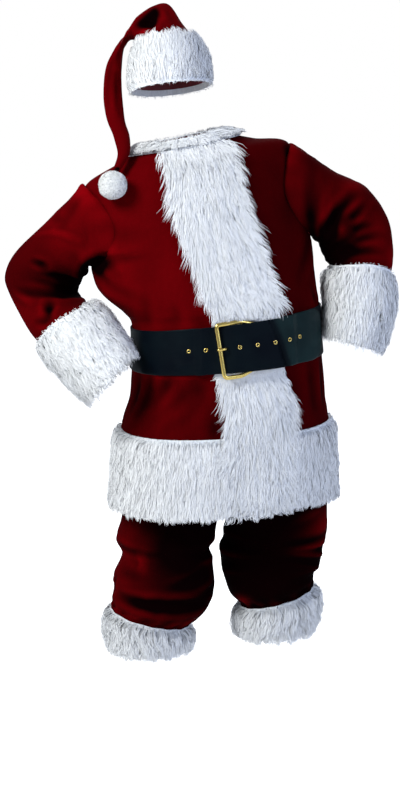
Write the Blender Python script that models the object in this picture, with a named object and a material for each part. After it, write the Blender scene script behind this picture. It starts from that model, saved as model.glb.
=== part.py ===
"""A plush holiday suit as it is worn: jacket, trousers, wide belt and cap, with fur trim.

Metres, +Z up.  The wearer faces -Y, and the wearer's left is +X.  The origin is between the
shoulders at the base of the neck, where the wearer carries the jacket.

Every cloth form is a stack of sections.  A section is given by its two edges in the XZ plane,
its middle in Y and its depths to the front and the back.  theta runs round a section: 0 at the
first edge, 90 at the front, 180 at the second edge and 270 at the back.  s runs along the
stack and counts its sections.
"""

import math

import bmesh
import bpy
import numpy as np

CLOTH = 0.002          # velvet wall
GAP = 0.0003           # between pieces that meet at a seam
SEAM_RADIUS = 0.25     # of a section at its seams, to turn that gap into degrees
LAY = 0.0013           # under a piece that lies on a panel, clear of the panel's facets
PILE = 0.024           # fur on the jacket and the cuffs, from backing to tips
FLAT_PILE = 0.007      # the same fur pressed under the belt
STRAP = 0.004          # belt leather
TURN = 12.0            # degrees that the chest is turned towards +X
AROUND = 20.0          # degrees between the points round a sleeve, a leg or the cap

SECTION = ("name", "x1", "z1", "x2", "z2", "y", "front", "back", "square")

TORSO = (
    # name           x1      z1      x2      z2      y     front  back   square
    ("hem",          0.351, -0.816, -0.170, -0.832, 0.000, 0.208, 0.185, 2.3),
    ("hem_fur_top",  0.340, -0.630, -0.154, -0.652, 0.000, 0.206, 0.175, 2.3),
    ("skirt",        0.329, -0.566, -0.132, -0.572, 0.000, 0.204, 0.168, 2.3),
    ("belt_bottom",  0.320, -0.470, -0.128, -0.506, 0.000, 0.200, 0.162, 2.3),
    ("belt_top",     0.312, -0.352, -0.126, -0.406, 0.000, 0.196, 0.160, 2.3),
    ("blouse",       0.307, -0.318, -0.146, -0.372, 0.000, 0.203, 0.160, 2.3),
    ("ribs",         0.303, -0.262, -0.200, -0.324, 0.000, 0.196, 0.155, 2.2),
    ("underarm",     0.296, -0.192, -0.222, -0.262, 0.000, 0.176, 0.150, 2.1),
    ("chest",        0.266, -0.082, -0.234, -0.168, 0.000, 0.150, 0.145, 2.0),
    ("shoulder",     0.246,  0.026, -0.238, -0.076, 0.005, 0.112, 0.122, 2.0),
    ("slope",        0.160,  0.040, -0.162, -0.022, 0.012, 0.094, 0.102, 2.0),
    ("neck",         0.074,  0.056, -0.092,  0.022, 0.016, 0.070, 0.078, 2.0),
)
HEM, HEM_FUR_TOP, SKIRT, BELT_BOTTOM, BELT_TOP, BLOUSE, RIBS = range(7)
UNDERARM, SHOULDER, SLOPE, NECK = 7, 9, 10, 11
ARMHOLE = 36.0         # degrees from the side of the section to the armhole's edge
TORSO_PITCH = (        # how far a section rises for each metre forward
    # s     rise
    (0.0,   0.000),
    (2.0,   0.000),
    (3.0,   0.012),
    (4.0,   0.030),
    (5.0,   0.020),
    (7.0,   0.000),
    (11.0,  0.000),
)

SLEEVE_RIGHT = (
    # name           x1      z1      x2      z2      y      front  back   square
    ("armhole",     -0.238, -0.076, -0.222, -0.262, -0.045, 0.082, 0.082, 2.0),
    ("head",        -0.270, -0.092, -0.234, -0.266, -0.040, 0.080, 0.080, 2.0),
    ("upper",       -0.332, -0.156, -0.242, -0.286, -0.020, 0.082, 0.082, 2.0),
    ("above_elbow", -0.408, -0.228, -0.262, -0.304,  0.006, 0.084, 0.084, 2.0),
    ("elbow",       -0.437, -0.284, -0.262, -0.318,  0.016, 0.080, 0.082, 2.0),
    ("below_elbow", -0.427, -0.328, -0.258, -0.332,  0.006, 0.076, 0.078, 2.0),
    ("forearm",     -0.390, -0.388, -0.240, -0.346, -0.036, 0.074, 0.074, 2.0),
    ("cuff_top",    -0.347, -0.444, -0.216, -0.350, -0.076, 0.071, 0.071, 2.0),
    ("cuff",        -0.290, -0.488, -0.180, -0.398, -0.116, 0.068, 0.068, 2.0),
    ("wrist",       -0.226, -0.546, -0.136, -0.452, -0.156, 0.066, 0.066, 2.0),
)
SLEEVE_LEFT = (
    # name           x1      z1      x2      z2      y      front  back   square
    ("armhole",      0.246,  0.026,  0.296, -0.192,  0.050, 0.082, 0.082, 2.0),
    ("head",         0.292,  0.006,  0.312, -0.202,  0.050, 0.080, 0.080, 2.0),
    ("upper",        0.356, -0.040,  0.324, -0.214,  0.056, 0.084, 0.084, 2.0),
    ("above_elbow",  0.434, -0.078,  0.334, -0.232,  0.060, 0.088, 0.086, 2.0),
    ("elbow",        0.486, -0.146,  0.344, -0.248,  0.054, 0.084, 0.084, 2.0),
    ("below_elbow",  0.500, -0.214,  0.352, -0.262,  0.042, 0.080, 0.080, 2.0),
    ("forearm",      0.500, -0.252,  0.360, -0.274,  0.032, 0.078, 0.078, 2.0),
    ("cuff_top",     0.494, -0.290,  0.364, -0.290,  0.020, 0.076, 0.076, 2.0),
    ("cuff",         0.482, -0.362,  0.368, -0.352, -0.006, 0.074, 0.074, 2.0),
    ("wrist",        0.456, -0.440,  0.358, -0.416, -0.036, 0.072, 0.072, 2.0),
)
SLEEVE_LIFT = 0.0022   # the sleeve's edge over the armhole's, so that its wall clears the panel's
SLEEVE_BLEND = 1.6     # sections over which the armhole's loop turns into the sleeve's own
CUFF_TOP, WRIST = 7, 9
CUFF_STARTS = {"right": 6.8, "left": 6.4}   # the fur cuffs' upper edges

# The legs have no section of their own above the crotch, where both take the hips' form.
LEG_RIGHT = (
    # name           x1      z1      x2      z2      y      front  back   square
    ("thigh",       -0.150, -0.800,  0.086, -0.800, -0.006, 0.122, 0.126, 2.1),
    ("hem",         -0.161, -0.880,  0.076, -0.884, -0.020, 0.118, 0.120, 2.1),
    ("knee",        -0.171, -0.930,  0.066, -0.930, -0.035, 0.116, 0.114, 2.1),
    ("pinch",       -0.157, -0.962,  0.060, -0.962, -0.045, 0.110, 0.106, 2.1),
    ("calf",        -0.177, -1.010,  0.067, -1.008, -0.055, 0.116, 0.112, 2.1),
    ("blouse",      -0.177, -1.045,  0.066, -1.056, -0.062, 0.118, 0.112, 2.1),
    ("blouse_low",  -0.182, -1.066,  0.050, -1.094, -0.066, 0.118, 0.110, 2.1),
    ("tuck",        -0.180, -1.082,  0.024, -1.122, -0.068, 0.100, 0.094, 2.0),
    ("fur_top",     -0.184, -1.092,  0.006, -1.137, -0.069, 0.088, 0.086, 2.0),
    ("cuff",        -0.166, -1.188, -0.016, -1.182, -0.070, 0.072, 0.072, 2.0),
)
LEG_LEFT = (
    # name           x1      z1      x2      z2      y      front  back   square
    ("thigh",        0.346, -0.800,  0.094, -0.800,  0.006, 0.122, 0.128, 2.1),
    ("hem",          0.349, -0.878,  0.098, -0.884,  0.016, 0.120, 0.122, 2.1),
    ("knee",         0.348, -0.928,  0.090, -0.930,  0.016, 0.118, 0.116, 2.1),
    ("pinch",        0.340, -0.956,  0.084, -0.956,  0.010, 0.114, 0.108, 2.1),
    ("calf",         0.332, -0.998,  0.086, -1.000,  0.004, 0.116, 0.112, 2.1),
    ("blouse",       0.322, -1.016,  0.096, -1.044, -0.002, 0.116, 0.110, 2.1),
    ("blouse_low",   0.316, -1.032,  0.108, -1.074, -0.004, 0.112, 0.106, 2.1),
    ("tuck",         0.312, -1.046,  0.128, -1.094, -0.004, 0.096, 0.092, 2.0),
    ("fur_top",      0.314, -1.058,  0.136, -1.108, -0.004, 0.086, 0.084, 2.0),
    ("cuff",         0.296, -1.158,  0.150, -1.174, -0.004, 0.070, 0.070, 2.0),
)
LEG_FUR_TOP, LEG_CUFF = 8, 9
HIPS = (
    # name           x1      z1      x2      z2      y      front  back   square
    ("waist",        0.290, -0.420, -0.098, -0.440, 0.000, 0.165, 0.132, 2.1),
    ("hips",         0.306, -0.560, -0.110, -0.570, 0.000, 0.172, 0.146, 2.1),
    ("seat",         0.314, -0.690, -0.120, -0.700, 0.000, 0.172, 0.156, 2.1),
    ("crotch",       0.330, -0.800, -0.136, -0.800, 0.000, 0.150, 0.150, 2.1),
)
HIPS_END = 1.6         # section where the hips' form starts to turn into the legs' own
LEG_START = 3          # the leg's first section, counted with those of the hips

HAT = (
    # name           x1      z1      x2      z2      y      front  back   square
    ("brim",         0.052,  0.176, -0.124,  0.158, 0.000, 0.100, 0.104, 2.0),
    ("band",         0.042,  0.220, -0.120,  0.210, 0.004, 0.096, 0.100, 2.0),
    ("band_top",     0.022,  0.262, -0.108,  0.252, 0.008, 0.086, 0.092, 2.0),
    ("crown",        0.004,  0.294, -0.118,  0.266, 0.012, 0.074, 0.078, 2.0),
    ("apex",        -0.031,  0.338, -0.130,  0.268, 0.014, 0.060, 0.062, 2.0),
    ("fold",        -0.086,  0.334, -0.140,  0.262, 0.016, 0.046, 0.048, 2.0),
    ("over",        -0.142,  0.276, -0.150,  0.242, 0.018, 0.038, 0.040, 2.0),
    ("drop",        -0.184,  0.212, -0.152,  0.202, 0.020, 0.032, 0.033, 2.0),
    ("tail",        -0.195,  0.142, -0.152,  0.140, 0.020, 0.026, 0.027, 2.0),
    ("tail_low",    -0.188,  0.088, -0.146,  0.086, 0.006, 0.021, 0.022, 2.0),
    ("tail_side",   -0.170,  0.044, -0.132,  0.044, -0.028, 0.015, 0.015, 2.0),
    ("tail_end",    -0.158,  0.004, -0.130,  0.006, -0.078, 0.008, 0.008, 2.0),
    ("tip",         -0.166, -0.033, -0.149, -0.031, -0.121, 0.005, 0.005, 2.0),
)
HAT_PITCH = (          # how far a section rises for each metre forward
    # s     rise
    (0.0,   0.12),
    (9.0,   0.12),
    (10.0,  0.60),
    (11.0,  1.30),
    (12.0,  1.50),
)
HAT_BRIM, HAT_BAND_TOP, HAT_TIP = 0, 2, 12
HAT_PILE = 0.023
POMPOM_REST = (136.0, 8.8)   # theta and s of the jacket under the pompom
POMPOM_RADIUS = 0.033

# Soft creases pressed into the cloth: both ends as (theta, s), the half width and the depth.
# A ridge has a negative depth.
CREASE = ("theta1", "s1", "theta2", "s2", "width", "depth")
TORSO_CREASES = (
    (162, 6.9, 128, 6.0, 0.022, 0.012),
    (168, 6.2, 140, 5.0, 0.020, 0.008),
    (18, 6.9, 44, 6.2, 0.022, 0.010),
    (198, 6.9, 232, 6.0, 0.024, 0.012),
    (342, 6.9, 308, 6.1, 0.024, 0.011),
    (150, 2.6, 146, 1.2, 0.024, 0.006),
    (24, 2.6, 30, 1.2, 0.024, 0.006),
    (230, 2.6, 224, 1.2, 0.028, 0.008),
    (300, 2.6, 306, 1.2, 0.028, 0.008),
    (250, 5.0, 238, 6.6, 0.028, 0.007),
    (290, 5.0, 300, 6.6, 0.028, 0.007),
)
SLEEVE_CREASES = (
    (150, 4.0, 84, 3.6, 0.022, 0.014),
    (160, 3.2, 96, 2.4, 0.020, 0.010),
    (150, 5.0, 88, 5.6, 0.018, 0.009),
    (30, 1.1, 110, 1.5, 0.018, 0.007),
    (208, 4.2, 262, 3.6, 0.022, 0.012),
    (202, 3.2, 256, 2.4, 0.020, 0.010),
    (210, 5.0, 262, 5.8, 0.018, 0.009),
)
LEG_CREASES = (
    (40, 5.9, 130, 6.2, 0.020, 0.010),
    (20, 7.4, 100, 6.9, 0.020, 0.009),
    (96, 7.6, 160, 7.2, 0.020, 0.009),
    (220, 5.8, 320, 6.1, 0.020, 0.010),
    (230, 7.2, 310, 7.0, 0.020, 0.009),
)
HAT_CREASES = (
    (60, 5.0, 150, 3.2, 0.014, 0.009),
    (300, 5.0, 215, 3.4, 0.014, 0.009),
)

# The belt: s between BELT_BOTTOM and BELT_TOP, theta where each thing is.
BUCKLE_BAR = 102.0     # outer bar, over the strap
BUCKLE_PIVOT = 84.0    # pivot bar, under the strap's free end
BUCKLE_STANDS = 0.10   # sections by which the frame is taller than the strap
BUCKLE_NECK = 92.0     # where its arms start to close in under the strap's free end
BUCKLE_TAPER = 0.15    # sections by which each end of the pivot bar lies further in
BUCKLE_SKEW = 1.8      # how far the bars lean, to each side of their middles
STRAP_TIP = 32.0       # theta of the free end's rounded tip
EYELETS = (120.5, 110.0, 93.0, 86.0, 77.0, 67.5, 58.0)
EYELET_RADIUS = 0.0042
EYELET_WIRE = 0.0010
BUCKLE_WIRE = 0.0045
PRONG_WIRE = 0.0030

FUR_BAND = 0.092       # half width of the fur down the front
BAND_SWING = (         # that band's middle, towards +X from the front edges
    # s      shift
    (0.0,    0.036),
    (1.0,    0.037),
    (2.0,    0.028),
    (3.0,    0.010),
    (4.0,    0.003),
    (4.5,    0.012),
    (5.0,    0.019),
    (6.0,    0.023),
    (7.0,    0.020),
    (8.0,    0.010),
    (11.0,   0.000),
)
COLLAR_PART = 0.003    # between the collar's two ends
COLLAR = 0.62          # how many sections the collar reaches down from the neck
HEM_DROP = 0.08        # sections by which fur hangs past the cloth's edge
CUFF_DROP = 0.22
LEG_DROP = 0.16
HAT_DROP = 0.35

VELVET = ((0.16, 0.002, 0.006), 0.75, 0.0)
FUR = ((0.86, 0.88, 0.90), 0.90, 0.0)
LEATHER = ((0.010, 0.014, 0.014), 0.38, 0.0)
BRASS = ((0.83, 0.62, 0.22), 0.28, 1.0)
PLUSH = ((0.88, 0.87, 0.84), 0.92, 0.0)


def clear_scene():
    for thing in list(bpy.data.objects):
        bpy.data.objects.remove(thing, do_unlink=True)


def finish(name, mesh, finish_values):
    """Adds an object with this mesh and a Principled material of its own."""
    colour, roughness, metallic = finish_values
    material = bpy.data.materials.new(name)
    material.use_nodes = True
    shader = material.node_tree.nodes["Principled BSDF"]
    shader.inputs["Base Color"].default_value = (*colour, 1.0)
    shader.inputs["Roughness"].default_value = roughness
    shader.inputs["Metallic"].default_value = metallic
    mesh.materials.append(material)
    mesh.shade_smooth()
    mesh.set_sharp_from_angle(angle=math.radians(50))
    thing = bpy.data.objects.new(name, mesh)
    bpy.context.scene.collection.objects.link(thing)
    return thing


def columns(rows, names):
    """A table as {column name: its values}, leaving out the rows' own names."""
    numbers = {name: [row[i] for row in rows] for i, name in enumerate(names) if name != "name"}
    return {name: np.array(values, float) for name, values in numbers.items()}


def smooth(values, s):
    """A table column read between its rows, on a curve through all of them."""
    values = np.asarray(values, float)
    s = np.asarray(s, float)
    slope = np.gradient(values)
    k = np.clip(np.floor(s).astype(int), 0, len(values) - 2)
    t = s - k
    a, b, da, db = values[k], values[k + 1], slope[k], slope[k + 1]
    curve = (2 * t**3 - 3 * t**2 + 1) * a + (3 * t**2 - 2 * t**3) * b
    curve += (t**3 - 2 * t**2 + t) * da + (t**3 - t**2) * db
    before, after = a + t * da, b + (t - 1) * db
    return np.where(t < 0, before, np.where(t > 1, after, curve))


def power(value, exponent):
    return np.sign(value) * np.abs(value) ** exponent


def unit(vectors):
    return vectors / np.maximum(np.linalg.norm(vectors, axis=-1, keepdims=True), 1e-12)


def step(value):
    """0 to 1, with level ends."""
    value = np.clip(value, 0, 1)
    return value * value * (3 - 2 * value)


def sections(rows, turn=0.0, pitch=((0.0, 0.0),)):
    """The surface through a table of sections, as a function of theta in degrees and s."""
    table = columns(rows, SECTION)
    lean = math.radians(turn)
    pitch_s, pitch_rise = np.array(pitch).T

    def surface(theta, s):
        theta, s = np.broadcast_arrays(np.radians(theta), np.asarray(s, float))
        read = {name: smooth(values, s) for name, values in table.items()}
        side = power(np.cos(theta), 2 / read["square"])
        ahead = power(np.sin(theta), 2 / read["square"])
        depth = np.where(ahead > 0, read["front"], read["back"]) * ahead
        half_x, half_z = (read["x1"] - read["x2"]) / 2, (read["z1"] - read["z2"]) / 2
        x = (read["x1"] + read["x2"]) / 2 + half_x * side + math.sin(lean) * depth
        y = read["y"] + math.tan(lean) * half_x * side - math.cos(lean) * depth
        z = (read["z1"] + read["z2"]) / 2 + half_z * side + np.interp(s, pitch_s, pitch_rise) * depth
        return np.stack([x, y, z], axis=-1)

    return surface


def creased(surface, rows, outward):
    """The surface with its creases pressed in."""
    table = columns(rows, CREASE)
    ends1 = surface(table["theta1"], table["s1"])
    ends2 = surface(table["theta2"], table["s2"])

    def pressed(theta, s):
        points = surface(theta, s)
        inward = -outward(surface, theta, s)
        move = np.zeros(points.shape[:-1])
        for one, two, width, depth in zip(ends1, ends2, table["width"], table["depth"]):
            along = two - one
            length = np.linalg.norm(along)
            t = ((points - one) @ along) / length**2
            nearest = one + np.clip(t, 0, 1)[..., None] * along
            away = np.linalg.norm(points - nearest, axis=-1)
            fade = 1 - 0.6 * np.clip(t, 0, 1)
            move += depth * fade * np.exp(-((away / width) ** 2))
        return points + inward * move[..., None]

    return pressed


def normals(surface, theta, s):
    """Outward unit normals, from the surface's own slopes."""
    theta, s = np.broadcast_arrays(np.asarray(theta, float), np.asarray(s, float))
    small_theta, small_s = 0.5, 0.02
    across = surface(theta + small_theta, s) - surface(theta - small_theta, s)
    along = surface(theta, s + small_s) - surface(theta, s - small_s)
    return unit(np.cross(along, across))


def outward_sign(surface, s):
    """1 if normals() points away from the middle of the section, else -1."""
    theta = np.arange(0, 360, 30.0)
    points = surface(theta, np.full(theta.shape, float(s)))
    return math.copysign(1, np.sum(normals(surface, theta, s) * (points - points.mean(axis=0))))


class Cloth:
    """A surface that pieces are laid on: points at any height over it, along its own normals."""

    def __init__(self, base, creases, middle):
        sign = outward_sign(base, middle)

        def outward(surface, theta, s):
            return normals(surface, theta, s) * sign

        self.outward = outward
        self.surface = creased(base, creases, outward) if creases else base

    def at(self, theta, s, height=0.0):
        points = self.surface(theta, s)
        return points + self.outward(self.surface, theta, s) * np.asarray(height, float)[..., None]


def shell(name, outer, inner, values, closed=False):
    """A closed body between two like grids of points: rows along s, columns round theta."""
    rows, around = outer.shape[:2]
    mesh = bmesh.new()
    top = [[mesh.verts.new(p) for p in row] for row in outer]
    under = [[mesh.verts.new(p) for p in row] for row in inner]
    wrap = around if closed else around - 1
    for i in range(rows - 1):
        for j in range(wrap):
            k = (j + 1) % around
            mesh.faces.new((top[i][j], top[i][k], top[i + 1][k], top[i + 1][j]))
            mesh.faces.new((under[i][j], under[i + 1][j], under[i + 1][k], under[i][k]))
    for i in (0, rows - 1):
        for j in range(wrap):
            k = (j + 1) % around
            mesh.faces.new((top[i][j], under[i][j], under[i][k], top[i][k]))
    if not closed:
        for j in (0, around - 1):
            for i in range(rows - 1):
                mesh.faces.new((top[i][j], top[i + 1][j], under[i + 1][j], under[i][j]))
    bmesh.ops.recalc_face_normals(mesh, faces=mesh.faces)
    data = bpy.data.meshes.new(name)
    mesh.to_mesh(data)
    mesh.free()
    return finish(name, data, values)


def wall(name, cloth, theta, s, values, closed=False):
    """One cut piece of cloth, with its right side on the surface."""
    level = np.zeros(theta.shape)
    outer, inner = cloth.at(theta, s, level), cloth.at(theta, s, level - CLOTH)
    return shell(name, outer, inner, values, closed)


def pad(name, cloth, theta, s, thickness, rim, values, closed=False):
    """Fur lying on the surface: thickness over the rim profile, on a flat underside."""
    level = np.full(theta.shape, LAY)
    outer, inner = cloth.at(theta, s, level + thickness * rim), cloth.at(theta, s, level)
    return shell(name, outer, inner, values, closed)


def rounded(count, share):
    """Places from 0 to 1 across a band of fur and its height there, with rounded rims."""
    inner = np.linspace(share, 1 - share, count - 4)
    place = np.concatenate([[0, share * 0.3], inner, [1 - share * 0.3, 1]])
    height = np.concatenate([[0.35, 0.78], np.ones(count - 4), [0.78, 0.35]])
    return place, height


def armhole_edge(s):
    """Degrees from the side of the section to the armhole's edge, 0 where there is none."""
    reach = np.clip((s - (UNDERARM + SHOULDER) / 2) / ((SHOULDER - UNDERARM) / 2), -1, 1)
    return ARMHOLE * np.sqrt(1 - reach**2)


def torso_rows():
    below = [HEM, 0.5, HEM_FUR_TOP, 1.5, SKIRT, BELT_BOTTOM, 3.5, BELT_TOP, 4.25, 4.6, BLOUSE, 5.5, RIBS, 6.5]
    turn = np.radians(np.arange(180, -1, -AROUND))
    armhole = (UNDERARM + SHOULDER) / 2 + (SHOULDER - UNDERARM) / 2 * np.cos(turn)
    return np.concatenate([below, armhole, [9.5, SLOPE, 10.5, NECK]])


def panel(first, last, count):
    """Grid of theta and s for a torso panel between two seams, cut away at the armholes."""
    s = torso_rows()[:, None]
    seam = math.degrees(GAP / 2 / SEAM_RADIUS)
    open_side = armhole_edge(s) + seam
    low = first + (open_side if first % 180 == 0 else seam)
    high = last - (open_side if last % 180 == 0 else seam)
    share = np.linspace(0, 1, count)[None, :]
    return low + (high - low) * share, s + 0 * share


def jacket(torso):
    for name, first, last, count in (
        ("jacket_front_left", 0, 90, 10),
        ("jacket_front_right", 90, 180, 10),
        ("jacket_back", 180, 360, 19),
    ):
        theta, s = panel(first, last, count)
        wall(name, torso, theta, s, VELVET)


def sleeve_cloth(rows, torso, side):
    """The sleeve's surface: the armhole's own loop first, then the table's sections.

    side is the torso's theta at the middle of the armhole.  The sleeve's theta is 0 on the
    outer edge of the arm, where the loop has the shoulder seam.
    """
    tube = sections(rows)
    middle, reach = (UNDERARM + SHOULDER) / 2, (SHOULDER - UNDERARM) / 2
    to_front = 1 if side == 0 else -1

    def surface(theta, s):
        theta, s = np.broadcast_arrays(np.asarray(theta, float), np.asarray(s, float))
        round_loop = np.radians(theta)
        loop_s = middle + reach * np.cos(round_loop)
        loop_theta = side + to_front * ARMHOLE * np.sin(round_loop)
        loop = torso.at(loop_theta, loop_s, np.full(theta.shape, SLEEVE_LIFT))
        own = step(s / SLEEVE_BLEND)[..., None]
        return loop * (1 - own) + tube(theta, s) * own

    return Cloth(surface, SLEEVE_CREASES, CUFF_TOP)


def sleeve(name, cloth):
    s = np.array([0, 0.45, 0.9, 1.4, 2, 2.5, 3, 3.5, 4, 4.5, 5, 5.5, 6, 6.5, CUFF_TOP, 7.5, 8, 8.5, WRIST])
    theta = np.arange(0, 360, AROUND)
    wall(name, cloth, *np.meshgrid(theta, s), VELVET, closed=True)


def fur_ring(name, cloth, low, high, thickness, share=0.16, count=7):
    """A ring of fur round a sleeve, a leg or the cap, from one section to another."""
    place, height = rounded(count, share)
    theta, place = np.meshgrid(np.arange(0, 360, AROUND), place)
    rim = np.repeat(height[:, None], theta.shape[1], axis=1)
    pad(name, cloth, theta, low + (high - low) * place, thickness, rim, FUR, closed=True)


def round_front(torso, s, lengths):
    """theta at these lengths from the front edge, towards +X round each section in s."""
    theta = np.linspace(-60, 240, 301)
    places = []
    for one_s, row in zip(s, lengths):
        line = torso.at(theta, np.full(theta.shape, one_s))
        run = np.concatenate([[0], np.cumsum(np.linalg.norm(np.diff(line, axis=0), axis=1))])
        places.append(np.interp(np.interp(90, theta, run) - row, run, theta))
    return np.array(places)


def band(torso, s, offsets):
    """theta at these distances, towards +X, from the middle of the front fur."""
    table = np.array(BAND_SWING)
    middle = np.interp(s, table[:, 0], table[:, 1])
    return round_front(torso, s, middle[:, None] + np.asarray(offsets)[None, :])


def pile_height(s):
    """The front fur's thickness: full, but pressed flat where the belt crosses it."""
    under = step((s - BELT_BOTTOM + 0.65) / 0.45) * step((BELT_TOP + 0.80 - s) / 0.5)
    return PILE + (FLAT_PILE - PILE) * under


def front_fur(torso):
    """The band down the front, from the collar to the hem."""
    top = NECK - COLLAR - 0.05
    more = [-HEM_DROP, 2.5, 2.85, top]
    rows = torso_rows()
    s = np.unique(np.concatenate([rows[rows < top], more]))
    ends = np.clip(np.minimum(np.arange(len(s)), np.arange(len(s))[::-1]) / 1.5 + 0.4, 0, 1)
    place, height = rounded(8, 0.11)
    theta = band(torso, s, FUR_BAND * (2 * place - 1))
    rim = height[None, :] * ends[:, None]
    pad("front_fur", torso, theta, s[:, None] + 0 * theta, pile_height(s)[:, None], rim, FUR)


def hem_fur(torso):
    """Three lengths of fur round the hem, meeting at the side seams and beside the front."""
    seam = 0.12
    for name, first, last in (
        ("hem_fur_left", 0 + seam, "front"),
        ("hem_fur_right", "front", 180 - seam),
        ("hem_fur_back", 180 + seam, 360 - seam),
    ):
        place, height = rounded(7, 0.12)
        s = -HEM_DROP + (HEM_FUR_TOP + HEM_DROP) * place
        clear = FUR_BAND + 3 * GAP
        low, high = (
            band(torso, s, [away])[:, 0] if end == "front" else np.full(s.shape, float(end))
            for end, away in ((first, -clear), (last, clear))
        )
        between = np.arange(0, 361, AROUND / 2)
        between = between[(between > low.max() + 1) & (between < high.min() - 1)]
        theta = np.column_stack([low, np.tile(between, (len(s), 1)), high])
        pad(name, torso, theta, s[:, None] + 0 * theta, PILE, height[:, None] + 0 * theta, FUR)


def collar_fur(torso):
    """A ring of fur at the neck, parted at the front like the jacket."""
    place, height = rounded(7, 0.18)
    s = NECK - COLLAR + COLLAR * place
    start = round_front(torso, s, np.full((len(s), 1), -COLLAR_PART / 2))
    end = round_front(torso, s, np.full((len(s), 1), COLLAR_PART / 2)) + 360
    theta = start + (end - start) * np.linspace(0, 1, 21)
    pad("collar_fur", torso, theta, s[:, None] + 0 * theta, PILE * 0.8, height[:, None] + 0 * theta, FUR)


def leg_cloth(rows, hips_side):
    """One half of the trousers: the hips' half section above the crotch, a leg's own below it.

    hips_side is 0 for the half towards +X and 180 for the other.  theta is 0 on the outer
    seam, and -180 and 180 both lie on the middle seam or the inseam.
    """
    hips = sections(HIPS)
    leg = sections(rows)
    turn = 1 if hips_side == 0 else -1

    def surface(theta, s):
        theta, s = np.broadcast_arrays(np.asarray(theta, float), np.asarray(s, float))
        above = hips(hips_side + turn * theta / 2, np.minimum(s, LEG_START))
        below = leg(theta, np.maximum(s - LEG_START, -0.4))
        own = step((s - HIPS_END) / (LEG_START - HIPS_END))[..., None]
        return above * (1 - own) + below * own

    return Cloth(surface, LEG_CREASES, LEG_START + LEG_CUFF)


def trousers(legs):
    """Front and back of each leg, cut at the outer seam and the middle seam or inseam."""
    s = np.array([0, 1, HIPS_END, 2.3, LEG_START, 4, 5, 6, 7, 8, 9, 10, 11, LEG_START + LEG_CUFF])
    seam = 0.09
    for side, cloth in legs.items():
        for part, first, last in (("front", 0, 180), ("back", -180, 0)):
            theta = np.linspace(first, last, int(180 / AROUND) + 1)
            theta[0], theta[-1] = first + seam, last - seam
            wall(f"trouser_{part}_{side}", cloth, *np.meshgrid(theta, s), VELVET)


def waistband(legs):
    """A plain band round the trousers' top, over both halves."""
    half = np.arange(-180, 181, AROUND)
    theta, s = np.meshgrid(half[:-1], [0.0, 0.3])
    left = legs["left"].at(theta, s, LAY + 0 * s)
    right = legs["right"].at(-theta, s, LAY + 0 * s)
    inner = np.concatenate([left, right], axis=1)
    middle = inner.mean(axis=1, keepdims=True)
    away = unit((inner - middle) * (1, 1, 0))
    shell("waistband", inner + away * CLOTH, inner, VELVET, closed=True)


def strap_height(torso, theta, over):
    """How far the strap's underside lies over the cloth: clear of the front fur pressed under it."""
    s = np.array([(BELT_BOTTOM + BELT_TOP) / 2])
    right, left = band(torso, s, [-FUR_BAND, FUR_BAND])[0]
    past = np.maximum((theta + 180) % 360 - 180 - right, left - (theta + 180) % 360 + 180)
    fur = 1 - step((past - 3.0) / 6.0)
    return LAY + (FLAT_PILE + LAY) * fur + over


def strap_lap(turn):
    """How far the strap is lifted where it lies over the buckle's pivot bar and over itself.

    turn is theta counted on round the waist, from the pivot bar at BUCKLE_PIVOT down to the
    free end, a full turn and more further on.
    """
    over_bar = 2 * BUCKLE_WIRE + 4 * LAY
    over_strap = STRAP + LAY
    rise = step((BUCKLE_BAR - 360 + 5 - turn) / 14.0)
    settle = step((BUCKLE_PIVOT - 360 - 7 - turn) / 14.0)
    return rise * over_bar + settle * (over_strap - over_bar)


def belt(torso):
    """One strap: fixed at the pivot bar, once round the waist, under the buckle's outer bar,
    over the pivot bar and on over itself to its rounded tip."""
    start, tip = BUCKLE_PIVOT - BUCKLE_SKEW - 3.0, STRAP_TIP - 360
    fine = np.concatenate([np.linspace(start, 50, 9), np.linspace(-236, tip + 20, 24)])
    even = np.arange(40, -231, -AROUND / 2)
    end = tip + np.array([16, 12, 8, 5, 2.5, 1.0, 0.0])
    turn = np.unique(np.concatenate([fine, even, end]))[::-1]
    nose = np.clip((turn - tip) / 14.0, 0, 1)
    taper = 0.30 * (1 - np.sqrt(1 - (1 - nose) ** 2))
    share = np.linspace(0, 1, 3)[:, None]
    s = BELT_BOTTOM + (BELT_TOP - BELT_BOTTOM) * (taper + (1 - 2 * taper) * share)
    theta = turn[None, :] + 0 * share
    height = strap_height(torso, theta, strap_lap(theta))
    shell("belt_strap", torso.at(theta, s, height + STRAP), torso.at(theta, s, height), LEATHER)


def wire(name, points, radius, values, closed=False, resolution=2):
    """A round rod along points."""
    curve = bpy.data.curves.new(name, "CURVE")
    curve.dimensions = "3D"
    curve.bevel_depth = radius
    curve.bevel_resolution = resolution
    curve.use_fill_caps = True
    line = curve.splines.new("POLY")
    line.points.add(len(points) - 1)
    for spot, point in zip(line.points, points):
        spot.co = (*point, 1.0)
    line.use_cyclic_u = closed
    maker = bpy.data.objects.new(name + "_path", curve)
    bpy.context.scene.collection.objects.link(maker)
    bpy.context.view_layer.update()
    mesh = bpy.data.meshes.new_from_object(maker)
    bpy.data.objects.remove(maker, do_unlink=True)
    body = bmesh.new()
    body.from_mesh(mesh)
    bmesh.ops.remove_doubles(body, verts=body.verts, dist=1e-6)
    bmesh.ops.recalc_face_normals(body, faces=body.faces)
    body.to_mesh(mesh)
    body.free()
    mesh.name = name
    mesh.materials.clear()
    return finish(name, mesh, values)


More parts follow.
